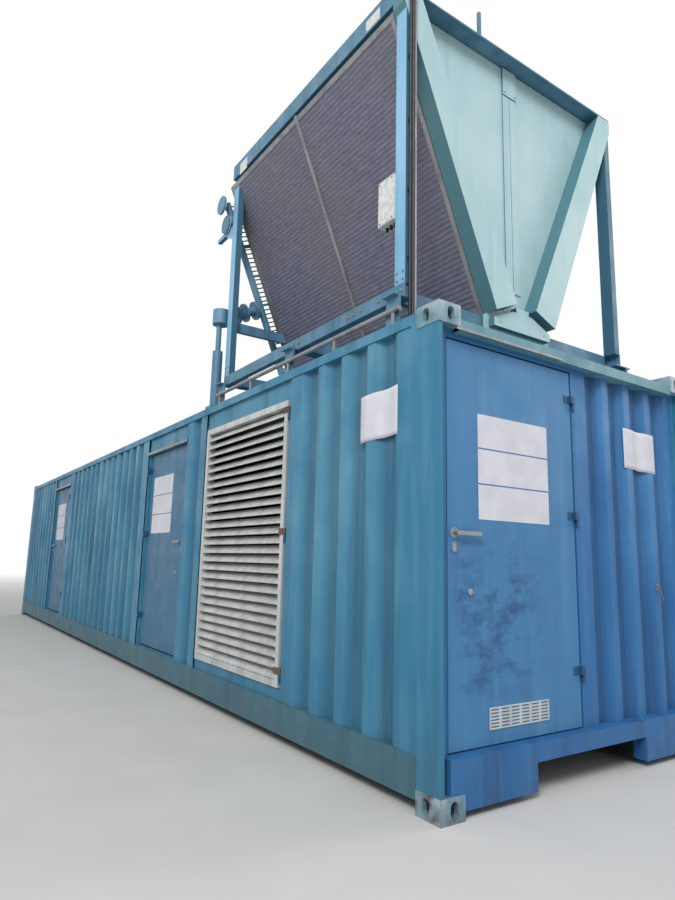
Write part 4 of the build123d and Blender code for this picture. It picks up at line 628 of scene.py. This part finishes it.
# Painted shade: thin dark plates standing for the shaded recesses beside the side doors' lintels
RECESS_WIDTH, RECESS_Y, RECESS_Z = 0.055, (-1.1905, -1.1885), (2.425, 2.495)
recess_shade = Piece()
for x in (1.300, -3.830):
    recess_shade.box((x, RECESS_Y[0], RECESS_Z[0]), (x + RECESS_WIDTH, RECESS_Y[1], RECESS_Z[1]))
recess_shade.finish("lintel_recess_shade", "dark_paint", edge=0.0006)

# A small plate with a hanging hook on the end wall
PLATE_FRONT, HOOK_X = END_WALL_FACE + 0.004, END_WALL_FACE + 0.016
hook = Piece()
hook.box((END_WALL_FACE, 0.816, 1.058), (PLATE_FRONT, 0.850, 1.104))
hook.rod((PLATE_FRONT, 0.833, 1.088), (END_WALL_FACE + 0.020, 0.833, 1.088), 0.006)
hook.rod((HOOK_X, 0.833, 1.090), (HOOK_X, 0.872, 0.995), 0.0045)
for z in (1.066, 1.097):
    hook.bolt((PLATE_FRONT, 0.824, z), TO_END, 0.004)
hook.finish("wall_hook", "galvanised_steel", edge=0.0008)


def door_screws(name, body, end_wall, lever_along, lever_up):
    """Two screws in the lever's rose and two in the keyhole plate under it."""
    plate_thickness = 0.007
    face = END_DOOR_FACE + plate_thickness if end_wall else SIDE_DOOR_FACE - plate_thickness
    piece = Piece()
    for drop, reach in ((0.0, 0.019), (0.074, 0.020)):
        for way in (-1, 1):
            at = wall_point(end_wall, face, lever_along, lever_up - drop + way * reach)
            piece.bolt(at, TO_END if end_wall else TO_SIDE, 0.0042)
    piece.finish(name, "galvanised_steel", body)


LEVER_FROM_EDGE = 0.027
door_screws(
    "end_door_screws", "end_door", True, span("end_door_fittings", Y)[0] + LEVER_FROM_EDGE, 1.364,
)
door_screws(
    "near_door_screws", "near_side_door", False,
    span("near_door_fittings", X)[1] - LEVER_FROM_EDGE, 1.358,
)
door_screws(
    "far_door_screws", "far_side_door", False,
    span("far_door_fittings", X)[0] + LEVER_FROM_EDGE, 1.358,
)

low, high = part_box("end_door_vent")
vent_rivets = Piece()
for y in (low[Y] + 0.010, (low[Y] + high[Y]) / 2, high[Y] - 0.010):
    for z in (low[Z] + 0.007, high[Z] - 0.007):
        vent_rivets.bolt((high[X], y, z), TO_END, 0.0035)
vent_rivets.finish("vent_rivets", "weathered_aluminium", "end_door")

# Louvre: rivets at the blades' ends, and along the frame's head and foot
BLADES, FRAME_BAR = 27, 0.046
BAR_RIVETS, FROM_CORNER = 9, 0.02
low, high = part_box("louvre_frame")
rivets = Piece()
for blade in range(BLADES):
    z = low[Z] + FRAME_BAR + (high[Z] - low[Z] - 2 * FRAME_BAR) * (blade + 0.45) / BLADES
    for x in (low[X] + FRAME_BAR * 0.7, high[X] - FRAME_BAR * 0.7):
        rivets.bolt((x, low[Y], z), TO_SIDE, 0.0038)
for z in (low[Z] + FRAME_BAR / 2, high[Z] - FRAME_BAR / 2):
    for k in range(BAR_RIVETS):
        x = low[X] + FROM_CORNER + (high[X] - low[X] - 2 * FROM_CORNER) * k / (BAR_RIVETS - 1)
        rivets.bolt((x, low[Y], z), TO_SIDE, 0.0042)
rivets.finish("louvre_rivets", "weathered_aluminium", "louvre_door")

# Cooler: its middle, and the outer faces of the V that its coils make
COOLER_Y = -0.022
V_SPREAD, V_FOOT, V_FOOT_Z = 0.425, 0.310, 2.896  # sideways per height, half width and height
V_SCALE = (1 + V_SPREAD**2) ** 0.5  # along the slope, for each metre of height


def v_side(z, side, out=0.0):
    """Y on the outer face of the V at that height, moved out by that much."""
    return side * (V_FOOT + V_SPREAD * (z - V_FOOT_Z) + out) + COOLER_Y


# Bolts in the side rails, the posts' feet, the edge channels, the keel's plate and the end
# panels' cover
RAIL_BOLTS_X = (
    5.668, 5.619, 5.519, 5.444, 5.255, 5.177, 5.111, 4.47, 4.40, 3.90, 3.83, 3.215, 3.150,
)
POST_BOLTS_X, POST_BOLTS_Z = (3.148, 3.204, 5.626, 5.682), (2.885, 2.935)
RAIL_BOLTS_Z, CHANNEL_BOLTS_Z, KEEL_BOLTS_Z, COVER_BOLTS_Z = 2.815, 4.872, 2.825, 4.700
CHANNEL_BOLTS, CHANNEL_BOLTS_FROM, CHANNEL_BOLTS_RANGE = 12, 0.08, 2.30
LEG_DEPTH, COVER_DEPTH, KEEL_PLATE_SETBACK = 0.120, 0.014, 0.039
LEGS_FACE = span("cooler_legs", X)[1]
KEEL_FACE = LEGS_FACE - KEEL_PLATE_SETBACK
COVER_FACE = LEGS_FACE - LEG_DEPTH + COVER_DEPTH
rails_y = span("cooler_side_rails", Y)
bolts = Piece()
for side, rail_y, channel_y in zip((-1, 1), rails_y, CHANNEL_Y):
    way = (0, side, 0)
    for x in RAIL_BOLTS_X:
        bolts.bolt((x, rail_y, RAIL_BOLTS_Z), way, 0.011)
    for x in POST_BOLTS_X:
        for z in POST_BOLTS_Z:
            bolts.bolt((x, rail_y, z), way, 0.010)
    for k in range(CHANNEL_BOLTS):
        x = CHANNEL_X[0] + CHANNEL_BOLTS_FROM + CHANNEL_BOLTS_RANGE * k / (CHANNEL_BOLTS - 1)
        bolts.bolt((x, channel_y, CHANNEL_BOLTS_Z), way, 0.007)
for y in (-0.225, 0.225):
    bolts.bolt((KEEL_FACE, COOLER_Y + y, KEEL_BOLTS_Z), TO_END, 0.006)
for y in (-0.055, 0.055):
    bolts.bolt((COVER_FACE, COOLER_Y + y, COVER_BOLTS_Z), TO_END, 0.007)
bolts.finish("cooler_bolts", "galvanised_steel")


def slope_strip(piece, x_low, x_high, z_low, z_high, side, proud=0.003):
    """A thin strip lying on the outer slope of one coil."""
    corners_of = [(x_low, z_low), (x_high, z_low), (x_high, z_high), (x_low, z_high)]
    drop = V_SPREAD / V_SCALE * proud
    inner = [piece.mesh.verts.new((x, v_side(z, side), z)) for x, z in corners_of]
    outer = [
        piece.mesh.verts.new((x, v_side(z, side) + side * proud / V_SCALE, z - drop))
        for x, z in corners_of
    ]
    piece.mesh.faces.new(inner[::-1])
    piece.mesh.faces.new(outer)
    for i in range(4):
        j = (i + 1) % 4
        piece.mesh.faces.new((inner[i], inner[j], outer[j], outer[i]))


# Folded strips along each coil's head, foot and near end
STRIPS = (
    (3.145, 5.580, 4.760, 4.797), (3.145, 5.580, 2.890, 2.925), (5.545, 5.580, 2.926, 4.759),
)
strips = Piece()
for side in (-1, 1):
    for strip in STRIPS:
        slope_strip(strips, *strip, side)
strips.finish("coil_edge_strips", "galvanised_steel", edge=0.0008)

# Feeders: fine pipes from the water headers to the coils' casings, square to the slope as far
# as a knee and then level. HEADER_OUT is how far off the slope the headers' axis lies.
HEADER_X, HEADER_OUT, HEADER_RADIUS = 3.020, 0.070, 0.033
CASING_X = span("coil_tube_sheets", X)[0]
FEEDERS, FEEDER_RADIUS, FEEDER_SIDES = 40, 0.0065, 8
FEEDER_LOWEST, FEEDER_RANGE = 3.035, 1.585
FEEDER_START, FEEDER_KNEE, KNEE_OVERLAP = 0.030, 0.105, 0.004
feeders = Piece()
for side in (-1, 1):
    inward = Vector((0, -side / V_SCALE, V_SPREAD / V_SCALE))
    for k in range(FEEDERS):
        z = FEEDER_LOWEST + FEEDER_RANGE * k / (FEEDERS - 1)
        axis = Vector((HEADER_X, v_side(z, side, HEADER_OUT), z))
        knee = axis + inward * FEEDER_KNEE
        feeders.rod(axis + inward * FEEDER_START, knee, FEEDER_RADIUS, FEEDER_SIDES)
        bend = knee - Vector((KNEE_OVERLAP, 0, 0))
        feeders.rod(bend, (CASING_X, knee.y, knee.z), FEEDER_RADIUS, FEEDER_SIDES)
feeders.finish("header_feeders", "dark_paint")

# Pale gaskets round the upper stubs' flanges, with bolts where the container's width allows
FLANGES = ((3.020, -1.135, 4.425), (3.020, -1.191, 4.612))
GASKET_OUT, GASKET_RADIUS, GASKET_THICKNESS = 0.001, 0.088, 0.0035
FLANGE_BOLTS, FLANGE_BOLT_SIZE, BOLT_CIRCLE, FLANGE_FRONT = 8, 0.009, 0.068, 0.019
BOLT_ROOM = 0.011  # what a bolt takes up in front of its flange
gaskets, flange_bolts = Piece(), Piece()
way = Vector(TO_SIDE)
side = way.orthogonal().normalized()
other = way.cross(side)
for centre in map(Vector, FLANGES):
    gaskets.ring(centre + way * GASKET_OUT, way, GASKET_RADIUS, GASKET_THICKNESS)
    for k in range(FLANGE_BOLTS):
        turn = 2 * pi * (k + 0.5) / FLANGE_BOLTS
        out = (side * cos(turn) + other * sin(turn)) * BOLT_CIRCLE
        at = centre + out + way * FLANGE_FRONT
        if at.y - BOLT_ROOM > -HALF_WIDTH:
            flange_bolts.bolt(at, way, FLANGE_BOLT_SIZE)
gaskets.finish("flange_gaskets", "white_coating")
flange_bolts.finish("flange_bolts", "galvanised_steel")

# Collars where the upper stubs meet the sloping water header, from inside it to past the seam
STUB_RADIUS, COLLAR_RADIUS, COLLAR_INSIDE, COLLAR_PAST = 0.029, 0.033, 0.020, 0.004
collars = Piece()
for _, _, z in FLANGES:
    axis_y = v_side(z, -1, HEADER_OUT)
    stub_y = axis_y - HEADER_RADIUS * V_SCALE - V_SPREAD * STUB_RADIUS - COLLAR_PAST
    inside_y = axis_y - COLLAR_INSIDE
    collars.rod((HEADER_X, inside_y, z), (HEADER_X, stub_y, z), COLLAR_RADIUS, 24)
    collars.ring((HEADER_X, stub_y, z), TO_SIDE, STUB_RADIUS + 0.002, 0.0025, 32, 6)
collars.finish("stub_collars", "cooler_paint")

# Junction box: a lid with its screws, and cable glands under it
LID_MARGIN, LID_THICKNESS, SCREW_MARGIN = 0.006, 0.004, 0.020
GLANDS, GLAND_SPACING, GLAND_BACK, GLAND_RADIUS, GLAND_LENGTH = 3, 0.040, 0.045, 0.011, 0.025
low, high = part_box("junction_box")
lid_front = low[Y] - LID_THICKNESS
lid = Piece()
lid.box(
    (low[X] + LID_MARGIN, lid_front, low[Z] + LID_MARGIN),
    (high[X] - LID_MARGIN, low[Y], high[Z] - LID_MARGIN),
)
lid.finish("junction_box_lid", "white_coating", edge=0.002)
glands = Piece()
for x in (low[X] + SCREW_MARGIN, high[X] - SCREW_MARGIN):
    for z in (low[Z] + SCREW_MARGIN, high[Z] - SCREW_MARGIN):
        glands.bolt((x, lid_front, z), TO_SIDE, 0.005)
for k in range(GLANDS):
    x, y = low[X] + GLAND_SPACING + GLAND_SPACING * k, low[Y] + GLAND_BACK
    glands.rod((x, y, low[Z]), (x, y, low[Z] - GLAND_LENGTH), GLAND_RADIUS, 8)
glands.finish("junction_box_glands", "dark_paint", edge=0.0006)

# Fan guards: wire rings between the cast ones
FANS_X, FANS_Y = (3.7965, 5.0325), (COOLER_Y - 0.520, COOLER_Y + 0.520)
WIRE_RADII = (0.065, 0.165, 0.205, 0.250, 0.285, 0.320, 0.365, 0.400, 0.430)
WIRE_THICKNESS, WIRES_BELOW_TOP = 0.0022, 0.003
wires_z = span("fan_guards", Z)[1] - WIRES_BELOW_TOP
wires = Piece()
for x in FANS_X:
    for y in FANS_Y:
        for radius in WIRE_RADII:
            wires.ring((x, y, wires_z), (0, 0, 1), radius, WIRE_THICKNESS, 48, 5)
wires.finish("guard_wires", "dark_paint")

# Camera, where the photograph was taken from
CAMERA_AT = Vector((8.4534, -3.4393, 1.2027))
CAMERA_AZIMUTH = radians(55.93)
CAMERA_PITCH = radians(9.905)
CAMERA_ROLL = radians(1.397)
CAMERA_LENS = 25.52

ahead = Vector((
    -sin(CAMERA_AZIMUTH) * cos(CAMERA_PITCH),
    cos(CAMERA_AZIMUTH) * cos(CAMERA_PITCH),
    sin(CAMERA_PITCH),
))
level = ahead.cross(Vector((0, 0, 1))).normalized()
upward = level.cross(ahead)
right = level * cos(CAMERA_ROLL) + upward * sin(CAMERA_ROLL)
upright = upward * cos(CAMERA_ROLL) - level * sin(CAMERA_ROLL)
turned = Matrix((right, upright, -ahead)).transposed().to_4x4()
camera_data = bpy.data.cameras.new("camera")
camera_data.sensor_fit = "AUTO"
camera_data.sensor_width = 36.0
camera_data.lens = CAMERA_LENS
camera_data.clip_start = 0.05
camera_data.clip_end = 200.0
camera = bpy.data.objects.new("camera", camera_data)
camera.matrix_world = Matrix.Translation(CAMERA_AT) @ turned
bpy.context.collection.objects.link(camera)
bpy.context.scene.camera = camera


def studio_floor(name, fade_from=11.0, fade_to=34.0):
    """A pale floor that fades to the white background, well away from the object."""
    g = Graph(name, roughness=0.9)
    darker = tuple(0.98 * c for c in FLOOR)
    g.finish(g.mix(g.spread(g.noise(2.0, 5.0), 0.35, 0.65), FLOOR, darker))
    distance = g.nodes.new("ShaderNodeVectorMath")
    distance.operation = "LENGTH"
    g.links.new(g.place, distance.inputs[0])
    camera_ray = g.nodes.new("ShaderNodeLightPath").outputs["Is Camera Ray"]
    share = g.times(g.spread(distance.outputs["Value"], fade_from, fade_to), camera_ray)
    glow = g.nodes.new("ShaderNodeEmission")
    glow.inputs["Color"].default_value = (1, 1, 1, 1)
    glow.inputs["Strength"].default_value = 1.0
    blend = g.nodes.new("ShaderNodeMixShader")
    g.links.new(share, blend.inputs[0])
    g.links.new(g.shader.outputs[0], blend.inputs[1])
    g.links.new(glow.outputs[0], blend.inputs[2])
    g.links.new(blend.outputs[0], g.nodes["Material Output"].inputs["Surface"])
    return g.material


FLOOR_REACH = 60
floor_mesh = bpy.data.meshes.new("floor")
floor_mesh.from_pydata([
    (-FLOOR_REACH, -FLOOR_REACH, 0), (FLOOR_REACH, -FLOOR_REACH, 0),
    (FLOOR_REACH, FLOOR_REACH, 0), (-FLOOR_REACH, FLOOR_REACH, 0),
], [], [(0, 1, 2, 3)])
floor_mesh.materials.append(studio_floor("floor_screed"))
floor = bpy.data.objects.new("floor", floor_mesh)
bpy.context.collection.objects.link(floor)


def lamp(name, at, size, watts, towards=(2, 0, 2)):
    """A large soft lamp."""
    data = bpy.data.lights.new(name, "AREA")
    data.shape = "DISK"
    data.size = size
    data.energy = watts
    piece = bpy.data.objects.new(name, data)
    piece.location = at
    piece.rotation_euler = (Vector(towards) - Vector(at)).to_track_quat("-Z", "Y").to_euler()
    bpy.context.collection.objects.link(piece)


lamp("key_lamp", (16, -14, 15), 8.0, 3200)
lamp("fill_lamp", (10, 16, 10), 10.0, 800)

# Soft light on the object, and white for all that sees the background itself
world = bpy.data.worlds.new("studio")
world.use_nodes = True
bpy.context.scene.world = world
nodes, links = world.node_tree.nodes, world.node_tree.links
soft, white = nodes["Background"], nodes.new("ShaderNodeBackground")
for background, strength in ((soft, 0.55), (white, 1.0)):
    background.inputs["Color"].default_value = (1, 1, 1, 1)
    background.inputs["Strength"].default_value = strength
rays = nodes.new("ShaderNodeLightPath").outputs
seen = rays["Is Camera Ray"]
for kind in ("Is Glossy Ray", "Is Transmission Ray"):
    either = nodes.new("ShaderNodeMath")
    either.operation = "MAXIMUM"
    links.new(seen, either.inputs[0])
    links.new(rays[kind], either.inputs[1])
    seen = either.outputs[0]
both = nodes.new("ShaderNodeMixShader")
links.new(seen, both.inputs[0])
links.new(soft.outputs[0], both.inputs[1])
links.new(white.outputs[0], both.inputs[2])
links.new(both.outputs[0], nodes["World Output"].inputs["Surface"])

bpy.context.scene.view_settings.view_transform = "Standard"
